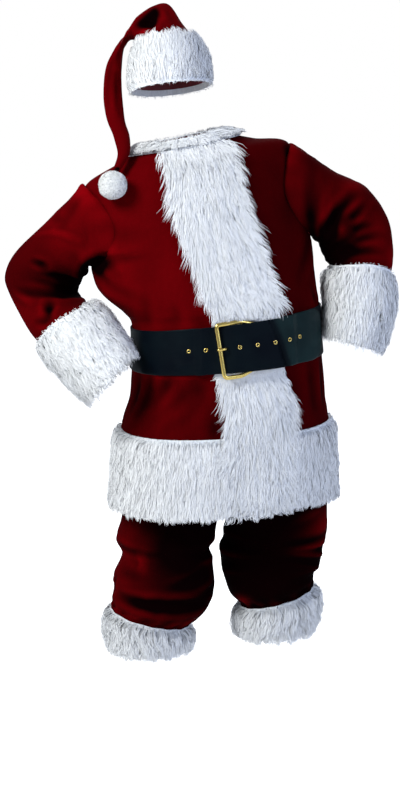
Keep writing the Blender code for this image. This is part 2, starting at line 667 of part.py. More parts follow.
def buckle(torso):
    """A square frame whose outer bar lies over the strap and whose pivot bar lies under it,
    and the prong, whose end shows where it leaves the strap and rests on the outer bar."""
    low, high = BELT_BOTTOM - BUCKLE_STANDS, BELT_TOP + BUCKLE_STANDS
    over = strap_lap(BUCKLE_BAR - 360) + STRAP + 2 * LAY + BUCKLE_WIRE
    share = (BUCKLE_BAR - BUCKLE_NECK) / (BUCKLE_BAR - BUCKLE_PIVOT)
    neck = over + (BUCKLE_WIRE - over) * share
    corners = (
        (BUCKLE_BAR - BUCKLE_SKEW, low, over), (BUCKLE_BAR + BUCKLE_SKEW, high, over),
        (BUCKLE_NECK, high - 0.01, neck), (BUCKLE_PIVOT, high - BUCKLE_TAPER, BUCKLE_WIRE),
        (BUCKLE_PIVOT, low + BUCKLE_TAPER, BUCKLE_WIRE), (BUCKLE_NECK, low + 0.01, neck),
    )
    theta, s, height = (np.array(column, float) for column in zip(*corners))
    path = round_corners(torso.at(theta, s, strap_height(torso, theta, height)), 0.008)
    wire("buckle_frame", path, BUCKLE_WIRE, BRASS, closed=True)
    prong = (
        (BUCKLE_BAR - 3.4, 0.0), (BUCKLE_BAR - 2.2, BUCKLE_WIRE * 1.6),
        (BUCKLE_BAR, 2 * BUCKLE_WIRE + PRONG_WIRE * 0.4), (BUCKLE_BAR + 1.8, BUCKLE_WIRE * 1.8),
    )
    theta, height = (np.array(column, float) for column in zip(*prong))
    middle = np.full(theta.shape, (BELT_BOTTOM + BELT_TOP) / 2)
    clear = strap_lap(BUCKLE_BAR - 360) + STRAP + 3 * LAY + PRONG_WIRE
    path = torso.at(theta, middle, strap_height(torso, theta, clear + height))
    wire("buckle_prong", path, PRONG_WIRE, BRASS)


def round_corners(points, radius, steps=3):
    """A closed path whose corners are arcs."""
    path = []
    for i, corner in enumerate(points):
        before, after = points[i - 1], points[(i + 1) % len(points)]
        a = corner + radius * unit(before - corner)
        b = corner + radius * unit(after - corner)
        for t in np.linspace(0, 1, steps + 1):
            path.append((1 - t) ** 2 * a + 2 * t * (1 - t) * corner + t**2 * b)
    return path


def eyelets(torso):
    """A row of small brass rings on the strap's middle line."""
    s = (BELT_BOTTOM + BELT_TOP) / 2
    for number, theta in enumerate(EYELETS, 1):
        spot, ahead = np.array([theta]), np.array([s])
        height = strap_height(torso, spot, strap_lap(theta - 360)) + STRAP + LAY + EYELET_WIRE
        centre = torso.at(spot, ahead, height)[0]
        out = torso.outward(torso.surface, spot, ahead)[0]
        right = unit(torso.at(spot - 1, ahead, height)[0] - centre)
        up = np.cross(out, right)
        turns = np.radians(np.arange(0, 360, 40))
        ring = [centre + EYELET_RADIUS * (math.cos(a) * right + math.sin(a) * up) for a in turns]
        wire(f"eyelet_{number}", ring, EYELET_WIRE, BRASS, closed=True, resolution=0)


def hat(cloth):
    """The cap's crown, folded over to the wearer's right and hanging to its tip."""
    s = np.array([HAT_BRIM, 1, HAT_BAND_TOP, 2.5, 3, 3.5, 4, 4.5, 5, 5.5, 6, 7, 8, 9, 10, 11, HAT_TIP])
    wall("hat_crown", cloth, *np.meshgrid(np.arange(0, 360, AROUND), s), VELVET, closed=True)


def pompom(torso):
    """A ball of short locks, as a sphere with every point raised or sunk a little."""
    theta, s = (np.array([value]) for value in POMPOM_REST)
    centre = torso.at(theta, s, np.array([POMPOM_RADIUS * 1.05 + LAY]))[0]
    data = bpy.data.meshes.new("pompom")
    body = bmesh.new()
    bmesh.ops.create_icosphere(body, subdivisions=3, radius=POMPOM_RADIUS)
    for number, vertex in enumerate(body.verts):
        vertex.co *= 1.0 + 0.045 * math.sin(number * 2.4)
        vertex.co += type(vertex.co)(centre)
    body.to_mesh(data)
    body.free()
    finish("pompom", data, PLUSH)


def main():
    clear_scene()
    torso = Cloth(sections(TORSO, TURN, TORSO_PITCH), TORSO_CREASES, BELT_TOP)
    jacket(torso)
    front_fur(torso)
    hem_fur(torso)
    collar_fur(torso)
    for side, rows, theta in (("right", SLEEVE_RIGHT, 180), ("left", SLEEVE_LEFT, 0)):
        cloth = sleeve_cloth(rows, torso, theta)
        sleeve(f"sleeve_{side}", cloth)
        fur_ring(f"cuff_fur_{side}", cloth, CUFF_STARTS[side], WRIST + CUFF_DROP, PILE)
    legs = {"right": leg_cloth(LEG_RIGHT, 180), "left": leg_cloth(LEG_LEFT, 0)}
    trousers(legs)
    waistband(legs)
    low, high = LEG_START + LEG_FUR_TOP, LEG_START + LEG_CUFF + LEG_DROP
    for side, cloth in legs.items():
        fur_ring(f"leg_fur_{side}", cloth, low, high, PILE)
    belt(torso)
    buckle(torso)
    eyelets(torso)
    cap = Cloth(sections(HAT, pitch=HAT_PITCH), HAT_CREASES, HAT_BRIM)
    hat(cap)
    low = HAT_BRIM - HAT_DROP
    fur_ring("hat_fur", cap, low, HAT_BAND_TOP + 0.1, HAT_PILE)
    pompom(torso)


main()
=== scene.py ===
"""Dresses the plain solids of a plush holiday suit: velvet, long pile, leather and brass.

Metres, +Z up.  The wearer faces -Y and the wearer's left is +X.  Every cloth form is a stack of
sections.  theta runs round a section in degrees: 0 at its first edge, 90 at the front, 180 at its
second edge and 270 at the back.  s runs along the stack and counts its sections.
"""

import math

import bpy
import numpy as np
from bpy.props import FloatProperty, FloatVectorProperty, IntProperty, PointerProperty
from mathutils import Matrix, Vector, kdtree


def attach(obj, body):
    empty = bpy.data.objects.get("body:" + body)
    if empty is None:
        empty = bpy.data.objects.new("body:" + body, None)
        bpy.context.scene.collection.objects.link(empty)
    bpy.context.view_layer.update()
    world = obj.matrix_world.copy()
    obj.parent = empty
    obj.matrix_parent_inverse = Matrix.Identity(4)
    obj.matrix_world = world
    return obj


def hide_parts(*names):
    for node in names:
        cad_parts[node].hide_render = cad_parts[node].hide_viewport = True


bl_info = {
    "name": "Plush holiday suit",
    "version": (1, 0, 0),
    "blender": (4, 5, 0),
    "location": "3D View > Sidebar > Suit",
    "description": "Velvet, fur trim, belt and cap around the suit's plain solids",
    "category": "Add Mesh",
}

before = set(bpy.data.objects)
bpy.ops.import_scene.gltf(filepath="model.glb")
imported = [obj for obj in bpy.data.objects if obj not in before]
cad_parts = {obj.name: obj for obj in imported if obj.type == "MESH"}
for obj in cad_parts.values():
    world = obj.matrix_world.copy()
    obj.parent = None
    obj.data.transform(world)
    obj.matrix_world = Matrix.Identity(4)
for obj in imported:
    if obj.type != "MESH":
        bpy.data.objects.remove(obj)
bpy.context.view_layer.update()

# ---------------------------------------------------------------- the cut

SECTION = ("name", "x1", "z1", "x2", "z2", "y", "front", "back", "square")
TORSO = (
    # name           x1      z1      x2      z2      y     front  back   square
    ("hem",          0.351, -0.816, -0.170, -0.832, 0.000, 0.208, 0.185, 2.3),
    ("hem_fur_top",  0.340, -0.630, -0.154, -0.652, 0.000, 0.206, 0.175, 2.3),
    ("skirt",        0.329, -0.566, -0.132, -0.572, 0.000, 0.204, 0.168, 2.3),
    ("belt_bottom",  0.320, -0.470, -0.128, -0.506, 0.000, 0.200, 0.162, 2.3),
    ("belt_top",     0.312, -0.352, -0.126, -0.406, 0.000, 0.196, 0.160, 2.3),
    ("blouse",       0.307, -0.318, -0.146, -0.372, 0.000, 0.203, 0.160, 2.3),
    ("ribs",         0.303, -0.262, -0.200, -0.324, 0.000, 0.196, 0.155, 2.2),
    ("underarm",     0.296, -0.192, -0.222, -0.262, 0.000, 0.176, 0.150, 2.1),
    ("chest",        0.266, -0.082, -0.234, -0.168, 0.000, 0.150, 0.145, 2.0),
    ("shoulder",     0.246,  0.026, -0.238, -0.076, 0.005, 0.112, 0.122, 2.0),
    ("slope",        0.160,  0.040, -0.162, -0.022, 0.012, 0.094, 0.102, 2.0),
    ("neck",         0.074,  0.056, -0.092,  0.022, 0.016, 0.070, 0.078, 2.0),
)
HEM_FUR_TOP, BELT_BOTTOM, BELT_TOP, UNDERARM, SHOULDER, NECK = 1, 3, 4, 7, 9, 11
TURN = 12.0            # degrees that the chest is turned towards +X
ARMHOLE = 36.0         # degrees from the side of the section to the armhole's edge
ARMHOLE_MIDDLE = (UNDERARM + SHOULDER) / 2
ARMHOLE_REACH = (SHOULDER - UNDERARM) / 2  # sections from its middle to its upper and lower end
TORSO_PITCH = (        # how far a section rises for each metre forward
    # s     rise
    (0.0,   0.000),
    (2.0,   0.000),
    (3.0,   0.012),
    (4.0,   0.030),
    (5.0,   0.020),
    (7.0,   0.000),
    (11.0,  0.000),
)

SLEEVE_RIGHT = (
    # name           x1      z1      x2      z2      y      front  back   square
    ("armhole",     -0.238, -0.076, -0.222, -0.262, -0.045, 0.082, 0.082, 2.0),
    ("head",        -0.270, -0.092, -0.234, -0.266, -0.040, 0.080, 0.080, 2.0),
    ("upper",       -0.332, -0.156, -0.242, -0.286, -0.020, 0.082, 0.082, 2.0),
    ("above_elbow", -0.408, -0.228, -0.262, -0.304,  0.006, 0.084, 0.084, 2.0),
    ("elbow",       -0.437, -0.284, -0.262, -0.318,  0.016, 0.080, 0.082, 2.0),
    ("below_elbow", -0.427, -0.328, -0.258, -0.332,  0.006, 0.076, 0.078, 2.0),
    ("forearm",     -0.390, -0.388, -0.240, -0.346, -0.036, 0.074, 0.074, 2.0),
    ("cuff_top",    -0.347, -0.444, -0.216, -0.350, -0.076, 0.071, 0.071, 2.0),
    ("cuff",        -0.290, -0.488, -0.180, -0.398, -0.116, 0.068, 0.068, 2.0),
    ("wrist",       -0.226, -0.546, -0.136, -0.452, -0.156, 0.066, 0.066, 2.0),
)
SLEEVE_LEFT = (
    # name           x1      z1      x2      z2      y      front  back   square
    ("armhole",      0.246,  0.026,  0.296, -0.192,  0.050, 0.082, 0.082, 2.0),
    ("head",         0.292,  0.006,  0.312, -0.202,  0.050, 0.080, 0.080, 2.0),
    ("upper",        0.356, -0.040,  0.324, -0.214,  0.056, 0.084, 0.084, 2.0),
    ("above_elbow",  0.434, -0.078,  0.334, -0.232,  0.060, 0.088, 0.086, 2.0),
    ("elbow",        0.486, -0.146,  0.344, -0.248,  0.054, 0.084, 0.084, 2.0),
    ("below_elbow",  0.500, -0.214,  0.352, -0.262,  0.042, 0.080, 0.080, 2.0),
    ("forearm",      0.500, -0.252,  0.356, -0.272,  0.032, 0.078, 0.078, 2.0),
    ("cuff_top",     0.494, -0.290,  0.352, -0.288,  0.020, 0.076, 0.076, 2.0),
    ("cuff",         0.482, -0.362,  0.352, -0.350, -0.006, 0.074, 0.074, 2.0),
    ("wrist",        0.458, -0.446,  0.346, -0.416, -0.036, 0.072, 0.072, 2.0),
)
SLEEVE_LIFT = -0.0040  # the sleeve's edge, turned in at the seam, over the armhole's
SLEEVE_BLEND = 1.6     # sections over which the armhole's loop turns into the sleeve's own
CUFF_TOP, WRIST = 7, 9
CUFF_STARTS = {        # s of the fur cuff's upper edge at each theta
    "right": ((0, 7.0), (90, 6.5), (180, 6.6), (270, 6.9), (360, 7.0)),
    "left": ((0, 7.1), (90, 5.7), (180, 5.0), (270, 6.2), (360, 7.1)),
}

LEG_RIGHT = (
    # name           x1      z1      x2      z2      y      front  back   square
    ("thigh",       -0.150, -0.800,  0.086, -0.800, -0.006, 0.122, 0.126, 2.1),
    ("hem",         -0.161, -0.880,  0.076, -0.884, -0.020, 0.118, 0.120, 2.1),
    ("knee",        -0.171, -0.930,  0.066, -0.930, -0.035, 0.116, 0.114, 2.1),
    ("pinch",       -0.157, -0.962,  0.060, -0.962, -0.045, 0.110, 0.106, 2.1),
    ("calf",        -0.177, -1.010,  0.067, -1.008, -0.055, 0.116, 0.112, 2.1),
    ("blouse",      -0.177, -1.045,  0.066, -1.056, -0.062, 0.118, 0.112, 2.1),
    ("blouse_low",  -0.182, -1.066,  0.050, -1.094, -0.066, 0.118, 0.110, 2.1),
    ("tuck",        -0.180, -1.082,  0.024, -1.122, -0.068, 0.100, 0.094, 2.0),
    ("fur_top",     -0.184, -1.092,  0.006, -1.137, -0.069, 0.088, 0.086, 2.0),
    ("cuff",        -0.166, -1.188, -0.016, -1.182, -0.070, 0.072, 0.072, 2.0),
)
LEG_LEFT = (
    # name           x1      z1      x2      z2      y      front  back   square
    ("thigh",        0.346, -0.800,  0.094, -0.800,  0.006, 0.122, 0.128, 2.1),
    ("hem",          0.349, -0.878,  0.098, -0.884,  0.016, 0.120, 0.122, 2.1),
    ("knee",         0.348, -0.928,  0.090, -0.930,  0.016, 0.118, 0.116, 2.1),
    ("pinch",        0.340, -0.956,  0.084, -0.956,  0.010, 0.114, 0.108, 2.1),
    ("calf",         0.332, -0.998,  0.086, -1.000,  0.004, 0.116, 0.112, 2.1),
    ("blouse",       0.322, -1.016,  0.096, -1.044, -0.002, 0.116, 0.110, 2.1),
    ("blouse_low",   0.316, -1.032,  0.108, -1.074, -0.004, 0.112, 0.106, 2.1),
    ("tuck",         0.312, -1.046,  0.128, -1.094, -0.004, 0.096, 0.092, 2.0),
    ("fur_top",      0.314, -1.058,  0.136, -1.108, -0.004, 0.086, 0.084, 2.0),
    ("cuff",         0.296, -1.158,  0.150, -1.174, -0.004, 0.070, 0.070, 2.0),
)
HIPS = (
    # name           x1      z1      x2      z2      y      front  back   square
    ("waist",        0.290, -0.420, -0.098, -0.440, 0.000, 0.165, 0.132, 2.1),
    ("hips",         0.306, -0.560, -0.110, -0.570, 0.000, 0.172, 0.146, 2.1),
    ("seat",         0.314, -0.690, -0.120, -0.700, 0.000, 0.172, 0.156, 2.1),
    ("crotch",       0.330, -0.800, -0.136, -0.800, 0.000, 0.150, 0.150, 2.1),
)
HIPS_END = 1.6         # section where the hips' form starts to turn into the legs' own
LEG_START = 3          # the leg's first section, counted with those of the hips
LEG_FUR_TOP, LEG_CUFF = 11, 12

HAT = (
    # name           x1      z1      x2      z2      y      front  back   square
    ("brim",         0.052,  0.176, -0.124,  0.158, 0.000, 0.100, 0.104, 2.0),
    ("band",         0.042,  0.220, -0.120,  0.210, 0.004, 0.096, 0.100, 2.0),
    ("band_top",     0.022,  0.262, -0.108,  0.252, 0.008, 0.086, 0.092, 2.0),
    ("crown",       -0.008,  0.302, -0.118,  0.266, 0.012, 0.074, 0.078, 2.0),
    ("apex",        -0.044,  0.347, -0.130,  0.268, 0.014, 0.060, 0.062, 2.0),
    ("fold",        -0.096,  0.328, -0.140,  0.262, 0.016, 0.046, 0.048, 2.0),
    ("over",        -0.142,  0.276, -0.150,  0.242, 0.018, 0.038, 0.040, 2.0),
    ("drop",        -0.184,  0.212, -0.152,  0.202, 0.020, 0.032, 0.033, 2.0),
    ("tail",        -0.195,  0.142, -0.152,  0.140, 0.020, 0.026, 0.027, 2.0),
    ("tail_low",    -0.188,  0.088, -0.146,  0.086, 0.006, 0.021, 0.022, 2.0),
    ("tail_side",   -0.170,  0.044, -0.132,  0.044, -0.028, 0.015, 0.015, 2.0),
    ("tail_end",    -0.158,  0.004, -0.130,  0.006, -0.078, 0.008, 0.008, 2.0),
    ("tip",         -0.166, -0.033, -0.149, -0.031, -0.121, 0.005, 0.005, 2.0),
)
HAT_PITCH = (          # how far a section rises for each metre forward
    # s     rise
    (0.0,   0.12),
    (9.0,   0.12),
    (10.0,  0.60),
    (11.0,  1.30),
    (12.0,  1.50),
)
HAT_BAND_TOP, HAT_TIP = 2, 12
POMPOM_REST = (136.0, 8.8)   # theta and s of the jacket under the pompom
POMPOM_RADIUS = 0.033

# Folds in the cloth: both ends as (theta, s), the half width and the depth.  A fold is deepest
# near its first end and runs out at its second.  A ridge has a negative depth.
FOLD = ("theta1", "s1", "theta2", "s2", "width", "depth")
TORSO_FOLDS = (
    # one end    other end   width   depth
    (154,  7.24, 168,  7.05, 0.014,  0.005),
    (150,  7.25, 123,  7.25, 0.012,  0.004),
    (151,  7.15, 142,  6.50, 0.012,  0.004),
    (168,  7.55, 148,  7.45, 0.006, -0.003),
    (159,  7.50, 123,  7.30, 0.006, -0.003),
    (151,  7.85, 119,  7.70, 0.018,  0.003),
    (159,  7.50, 139,  8.25, 0.018,  0.004),
    (166,  6.85, 132,  5.60, 0.016,  0.004),
    (121,  2.85, 137,  1.10, 0.016,  0.005),
    (114,  2.85, 124,  1.20, 0.016,  0.004),
    (134,  2.95, 153,  1.75, 0.016,  0.006),
    (128,  2.00, 140,  1.05, 0.014, -0.004),
    (150,  2.85, 164,  1.20, 0.015,  0.005),
    (165,  2.85, 176,  1.30, 0.015,  0.004),
    (155,  4.45, 128,  6.20, 0.014,  0.003),
    (128,  4.45, 119,  5.75, 0.012,  0.003),
    (23,   8.85, 38,   7.80, 0.010,  0.004),
    (25,   7.15, 53,   5.35, 0.014,  0.002),
    (18,   6.90, 42,   6.20, 0.016,  0.002),
    (26,   7.55, 26,   8.55, 0.012, -0.003),
    (30,   4.40, 35,   5.50, 0.012,  0.004),
    (46,   2.85, 43,   1.30, 0.015,  0.003),
    (24,   2.85, 30,   1.20, 0.015,  0.004),
    (4,    2.85, 2,    1.20, 0.015,  0.004),
    (198,  6.95, 236,  5.90, 0.022,  0.010),
    (342,  6.95, 304,  5.90, 0.022,  0.010),
    (196,  7.20, 240,  7.50, 0.015,  0.007),
    (344,  7.20, 302,  7.60, 0.015,  0.007),
    (203,  6.60, 226,  4.90, 0.016,  0.006),
    (337,  6.60, 316,  4.90, 0.016,  0.006),
    (250,  4.40, 238,  6.60, 0.022,  0.007),
    (290,  4.40, 303,  6.40, 0.020,  0.007),
    (262,  4.30, 258,  5.90, 0.015,  0.005),
    (278,  4.30, 286,  5.50, 0.014,  0.005),
    (208,  4.30, 214,  5.40, 0.014,  0.005),
    (330,  4.30, 322,  5.30, 0.014,  0.005),
    (222,  8.60, 318,  8.90, 0.020,  0.003),
    (230,  2.75, 223,  1.10, 0.020,  0.006),
    (300,  2.75, 307,  1.10, 0.020,  0.006),
    (252,  2.80, 248,  1.10, 0.017,  0.005),
    (279,  2.80, 285,  1.10, 0.017,  0.005),
    (206,  2.75, 202,  1.20, 0.014,  0.007),
    (326,  2.75, 331,  1.20, 0.014,  0.007),
)
SLEEVE_RIGHT_FOLDS = (
    # one end    other end   width   depth
    (186,  2.35, 96,   3.20, 0.012,  0.012),
    (210,  4.90, 46,   4.70, 0.012,  0.009),
    (86,   2.80, 60,   2.90, 0.008,  0.008),
    (134,  0.15, 184,  2.60, 0.014,  0.010),
    (98,   5.45, 80,   6.20, 0.010,  0.009),
    (80,   6.20, 50,   6.10, 0.009,  0.006),
    (96,   1.25, 10,   2.55, 0.007, -0.004),
    (70,   5.25, 36,   4.75, 0.008, -0.004),
    (52,   1.55, 4,    1.85, 0.011,  0.003),
    (180,  3.90, 70,   3.70, 0.010,  0.006),
    (200,  0.90, 84,   1.95, 0.016,  0.005),
    (34,   0.90, 72,   1.80, 0.014,  0.003),
    (356,  0.90, 30,   1.10, 0.009,  0.004),
    (208,  4.20, 268,  3.50, 0.016,  0.012),
    (202,  3.00, 262,  2.30, 0.016,  0.010),
    (210,  5.00, 268,  5.90, 0.014,  0.009),
    (204,  4.60, 306,  4.30, 0.012,  0.006),
    (214,  2.10, 292,  1.50, 0.012,  0.006),
    (236,  6.40, 306,  5.90, 0.010,  0.005),
    (330,  2.40, 338,  3.80, 0.012,  0.004),
)
SLEEVE_LEFT_FOLDS = (
    # one end    other end   width   depth
    (122,  2.20, 36,   2.80, 0.013,  0.013),
    (92,   2.95, 38,   3.35, 0.010,  0.009),
    (96,   3.35, 58,   3.90, 0.010,  0.008),
    (108,  3.75, 34,   4.60, 0.010,  0.006),
    (124,  4.10, 40,   5.30, 0.010,  0.006),
    (136,  1.05, 30,   1.30, 0.015,  0.004),
    (358,  1.20, 64,   1.05, 0.009,  0.007),
    (350,  1.85, 44,   1.75, 0.008,  0.006),
    (350,  2.35, 40,   2.25, 0.008,  0.006),
    (348,  2.95, 42,   2.85, 0.008,  0.007),
    (344,  3.65, 40,   3.50, 0.008,  0.006),
    (122,  1.60, 34,   1.95, 0.012, -0.003),
    (70,   3.20, 16,   3.45, 0.008, -0.003),
    (208,  4.20, 268,  3.50, 0.016,  0.012),
    (202,  3.20, 262,  2.30, 0.016,  0.010),
    (210,  5.00, 268,  5.90, 0.014,  0.009),
    (206,  4.60, 300,  4.10, 0.012,  0.006),
    (214,  2.30, 292,  1.50, 0.012,  0.006),
    (328,  2.50, 338,  3.80, 0.012,  0.004),
)
LEG_RIGHT_FOLDS = (
    # one end    other end   width   depth
    (10,   5.15, 90,   5.30, 0.009,  0.005),
    (182,  5.65, 104,  5.35, 0.012,  0.011),
    (30,   6.55, 76,   6.70, 0.012,  0.003),
    (146,  6.75, 90,   7.20, 0.012,  0.006),
    (84,   8.20, 22,   7.95, 0.012,  0.009),
    (84,   8.20, 168,  8.30, 0.013,  0.010),
    (172,  7.60, 110,  8.00, 0.011,  0.005),
    (12,   7.70, 18,   6.80, 0.010,  0.007),
    (58,   5.50, 62,   6.60, 0.009, -0.004),
    (100,  4.00, 134,  5.00, 0.014,  0.006),
    (-14,  5.30, -96,  5.20, 0.014,  0.011),
    (-170, 5.60, -100, 5.90, 0.014,  0.010),
    (-18,  7.80, -112, 7.40, 0.013,  0.011),
    (-160, 7.70, -92,  8.20, 0.012,  0.009),
    (-60,  6.50, -134, 6.60, 0.011,  0.006),
    (-50,  3.60, -112, 3.90, 0.016,  0.008),
)
LEG_LEFT_FOLDS = (
    # one end    other end   width   depth
    (30,   3.85, 80,   4.10, 0.012,  0.003),
    (8,    4.90, 84,   5.00, 0.012,  0.005),
    (10,   6.00, 74,   5.65, 0.010,  0.005),
    (10,   6.80, 82,   6.00, 0.009,  0.005),
    (16,   5.60, 80,   5.30, 0.008, -0.004),
    (14,   6.45, 80,   5.85, 0.008, -0.004),
    (6,    8.40, 70,   7.70, 0.010,  0.005),
    (176,  6.80, 112,  6.60, 0.012,  0.007),
    (182,  5.30, 100,  5.40, 0.012,  0.007),
    (-16,  4.60, -96,  4.90, 0.014,  0.010),
    (-166, 5.40, -100, 5.20, 0.014,  0.010),
    (-18,  7.40, -104, 7.70, 0.013,  0.010),
    (-162, 7.80, -92,  8.30, 0.012,  0.009),
    (-56,  6.20, -132, 6.40, 0.011,  0.006),
    (-50,  3.50, -112, 3.80, 0.016,  0.008),
)
HAT_FOLDS = (
    # one end    other end   width   depth
    (102,  3.60, 60,   3.70, 0.012,  0.012),
    (110,  4.05, 94,   2.80, 0.012,  0.010),
    (74,   4.50, 146,  3.60, 0.012,  0.008),
    (40,   3.70, 56,   2.60, 0.010,  0.003),
    (160,  4.70, 110,  7.05, 0.010,  0.005),
    (66,   6.70, 60,   9.00, 0.009,  0.004),
    (120,  7.40, 132,  9.20, 0.009,  0.004),
    (300,  5.00, 212,  3.30, 0.014,  0.009),
    (330,  3.40, 296,  2.50, 0.012,  0.006),
    (250,  5.80, 272,  8.40, 0.010,  0.005),
)

# Spots of painted shade and painted highlights on the velvet: the middle as (theta, s), how wide and
# high the place is in metres, and how much darker (painted shade) or brighter (painted highlight) it is.
SHADING_SPOT = ("theta", "s", "wide", "high", "amount")
TORSO_PAINTED_SHADING = (
    # middle     wide   high   amount
    (160,  7.12, 0.022, 0.018, -1.10),
    (168,  7.00, 0.024, 0.020, -1.10),
    (163,  2.10, 0.030, 0.040, -0.30),
    (104,  1.25, 0.016, 0.030, -0.50),
    (29,   8.45, 0.012, 0.085, -0.50),
    (10,   7.10, 0.026, 0.030, -0.40),
    (50,   3.30, 0.016, 0.090,  0.15),
)
SLEEVE_RIGHT_PAINTED_SHADING = (
    # middle     wide   high   amount
    (150,  0.50, 0.026, 0.022, -1.20),
    (178,  1.90, 0.040, 0.026, -1.20),
    (180,  3.00, 0.050, 0.022, -1.00),
    (100,  3.00, 0.030, 0.010, -0.40),
    (92,   5.70, 0.012, 0.020, -0.30),
    (358,  0.85, 0.020, 0.016,  0.50),
)
SLEEVE_LEFT_PAINTED_SHADING = (
    # middle     wide   high   amount
    (150,  2.75, 0.060, 0.050, -0.80),
    (110,  2.35, 0.020, 0.026, -0.50),
    (132,  1.10, 0.020, 0.034, -0.25),
    (52,   4.35, 0.026, 0.070,  0.35),
    (28,   2.60, 0.030, 0.014,  0.45),
    (30,   5.70, 0.014, 0.030,  0.60),
)
LEG_RIGHT_PAINTED_SHADING = (
    # middle     wide   high   amount
    (118,  4.80, 0.080, 0.060, -0.70),
    (84,   8.15, 0.060, 0.012, -0.60),
    (70,   9.80, 0.070, 0.014,  0.15),
    (126,  10.00,0.080, 0.016,  0.50),
    (60,   5.95, 0.014, 0.036,  0.35),
    (136,  7.35, 0.050, 0.020, -0.20),
)
LEG_LEFT_PAINTED_SHADING = (
    # middle     wide   high   amount
    (36,   3.85, 0.080, 0.040,  0.88),
    (20,   4.60, 0.030, 0.040,  0.60),
    (50,   5.30, 0.050, 0.010,  0.40),
    (46,   5.90, 0.050, 0.010,  0.40),
    (140,  9.40, 0.020, 0.020,  0.90),
    (96,   10.90,0.050, 0.010,  0.30),
)
HAT_PAINTED_SHADING = (
    # middle     wide   high   amount
    (70,   3.92, 0.010, 0.009, -0.90),
    (84,   3.85, 0.014, 0.012, -1.00),
    (98,   3.70, 0.018, 0.012, -1.10),
    (112,  3.70, 0.018, 0.010, -0.90),
    (96,   3.30, 0.012, 0.012, -0.60),
    (52,   3.45, 0.020, 0.020,  0.30),
)

# The belt: s between BELT_BOTTOM and BELT_TOP, theta where each thing is.
BUCKLE_BAR = 102.0     # outer bar, over the strap
BUCKLE_PIVOT = 84.0    # pivot bar, under the strap's free end
BUCKLE_STANDS = 0.10   # sections by which the frame is taller than the strap
BUCKLE_NECK = 92.0     # where its arms start to close in under the strap's free end
BUCKLE_TAPER = 0.22    # sections by which each end of the pivot bar lies further in
BUCKLE_SKEW = 1.8      # how far the bars lean, to each side of their middles
STRAP_TIP = 32.0       # theta of the free end's rounded tip
STRAP_CREASE = (       # where the strap is kinked
    # s      theta  width  depth
    (3.02,   70.0,  1.00,  0.0056),
    (3.94,   79.5,  0.65,  0.0034),
)
EYELETS = (120.5, 110.0, 93.0, 86.0, 77.0, 67.5, 58.0)
FUR_BAND = 0.092       # half width of the fur down the front
FUR_INSET = 0.015      # how far inside that its backing's edges lie
BAND_SWING = (         # that band's middle, towards +X from the front edges
    # s      shift
    (0.0,    0.036),
    (1.0,    0.037),
    (2.0,    0.028),
    (3.0,    0.010),
    (4.0,    0.003),
    (4.5,    0.012),
    (5.0,    0.019),
    (6.0,    0.023),
    (7.0,    0.020),
    (8.0,    0.010),
    (11.0,   0.000),
)
COLLAR = 0.62          # how many sections the collar reaches down from the neck
COLLAR_PART = 0.003    # between the collar's two ends

CLOTH = 0.0018         # velvet with its lining
LAY = 0.0013           # under what lies on a panel
FLAT_PILE = 0.007      # fur pressed under the belt
SEAM = 0.0006          # between cut pieces at a seam


# ---------------------------------------------------------------- settings

def length(name, about, default, low, high):
    return FloatProperty(
        name=name, description=about, default=default, min=low, max=high, unit="LENGTH",
    )


def colour(name, about, default):
    return FloatVectorProperty(
        name=name, description=about, default=default, min=0, max=1, size=3, subtype="COLOR",
    )


class ClothSettings(bpy.types.PropertyGroup):
    """The velvet of the jacket, the trousers and the cap."""

    # The velvet's colour is painted between these two: the first on ridges and painted highlights, the
    # second in the darkest painted shade.
    velvet: colour("Velvet", "Colour of the pile, seen along it", (0.200, 0.0004, 0.0024))
    velvet_deep: colour("Velvet, deep", "Colour of the pile, seen into it", (0.0025, 0.0001, 0.0003))
    lining: colour("Lining", "Colour inside the suit", (0.16, 0.004, 0.010))
    mesh_step: length("Mesh step", "Distance between the jacket's points", 0.0075, 0.004, 0.02)
    ripple: length("Ripple", "Depth of the cloth's slight unevenness", 0.0008, 0.0, 0.004)


class FurSettings(bpy.types.PropertyGroup):
    """The long white pile of the trim."""

    tip: colour("Tips", "Colour of the pile's tips", (0.98, 0.98, 0.985))
    # The roots' colour is painted shade deep in the pile.
    root: colour("Roots", "Colour deep in the pile", (0.90, 0.92, 0.955))
    pompom: colour("Pompom", "Colour of the pompom", (0.99, 0.985, 0.97))
    strand_width: length("Strand width", "Width of a strand at its root", 0.0013, 0.0005, 0.004)
    density: IntProperty(
        name="Density", description="Strands in a square decimetre", default=1900, min=50, max=4000,
    )


class BeltSettings(bpy.types.PropertyGroup):
    """The strap, the buckle and the eyelets."""

    leather: colour("Leather", "Colour of the strap", (0.0008, 0.0022, 0.0050))
    # The second colour is a painted reflection: the lighter green-grey sheen past the strap's crease.
    worn: colour("Worn leather", "Colour of the strap's bloom, past the crease", (0.0100, 0.0240, 0.0245))
    brass: colour("Brass", "Colour of the buckle and the eyelets", (0.88, 0.66, 0.20))
    strap: length("Strap thickness", "Thickness of the leather", 0.004, 0.002, 0.006)
    bar: length("Bar", "Half the thickness of the buckle's bars", 0.0045, 0.003, 0.006)


class StageSettings(bpy.types.PropertyGroup):
    """Floor, lights and camera."""

    floor: colour("Floor", "Colour of the floor", (0.93, 0.93, 0.93))
    floor_height: length("Floor height", "Height of the floor under the suit", -1.542, -3.0, 0.0)
    key: FloatProperty(
        name="Key light", description="Power of the large front light", default=140.0, min=0, unit="POWER",
    )


# ---------------------------------------------------------------- forms

def columns(rows, names):
    """A table as {column name: its values}, leaving out the rows' own names."""
    numbers = {name: [row[i] for row in rows] for i, name in enumerate(names) if name != "name"}
    return {name: np.array(values, float) for name, values in numbers.items()}


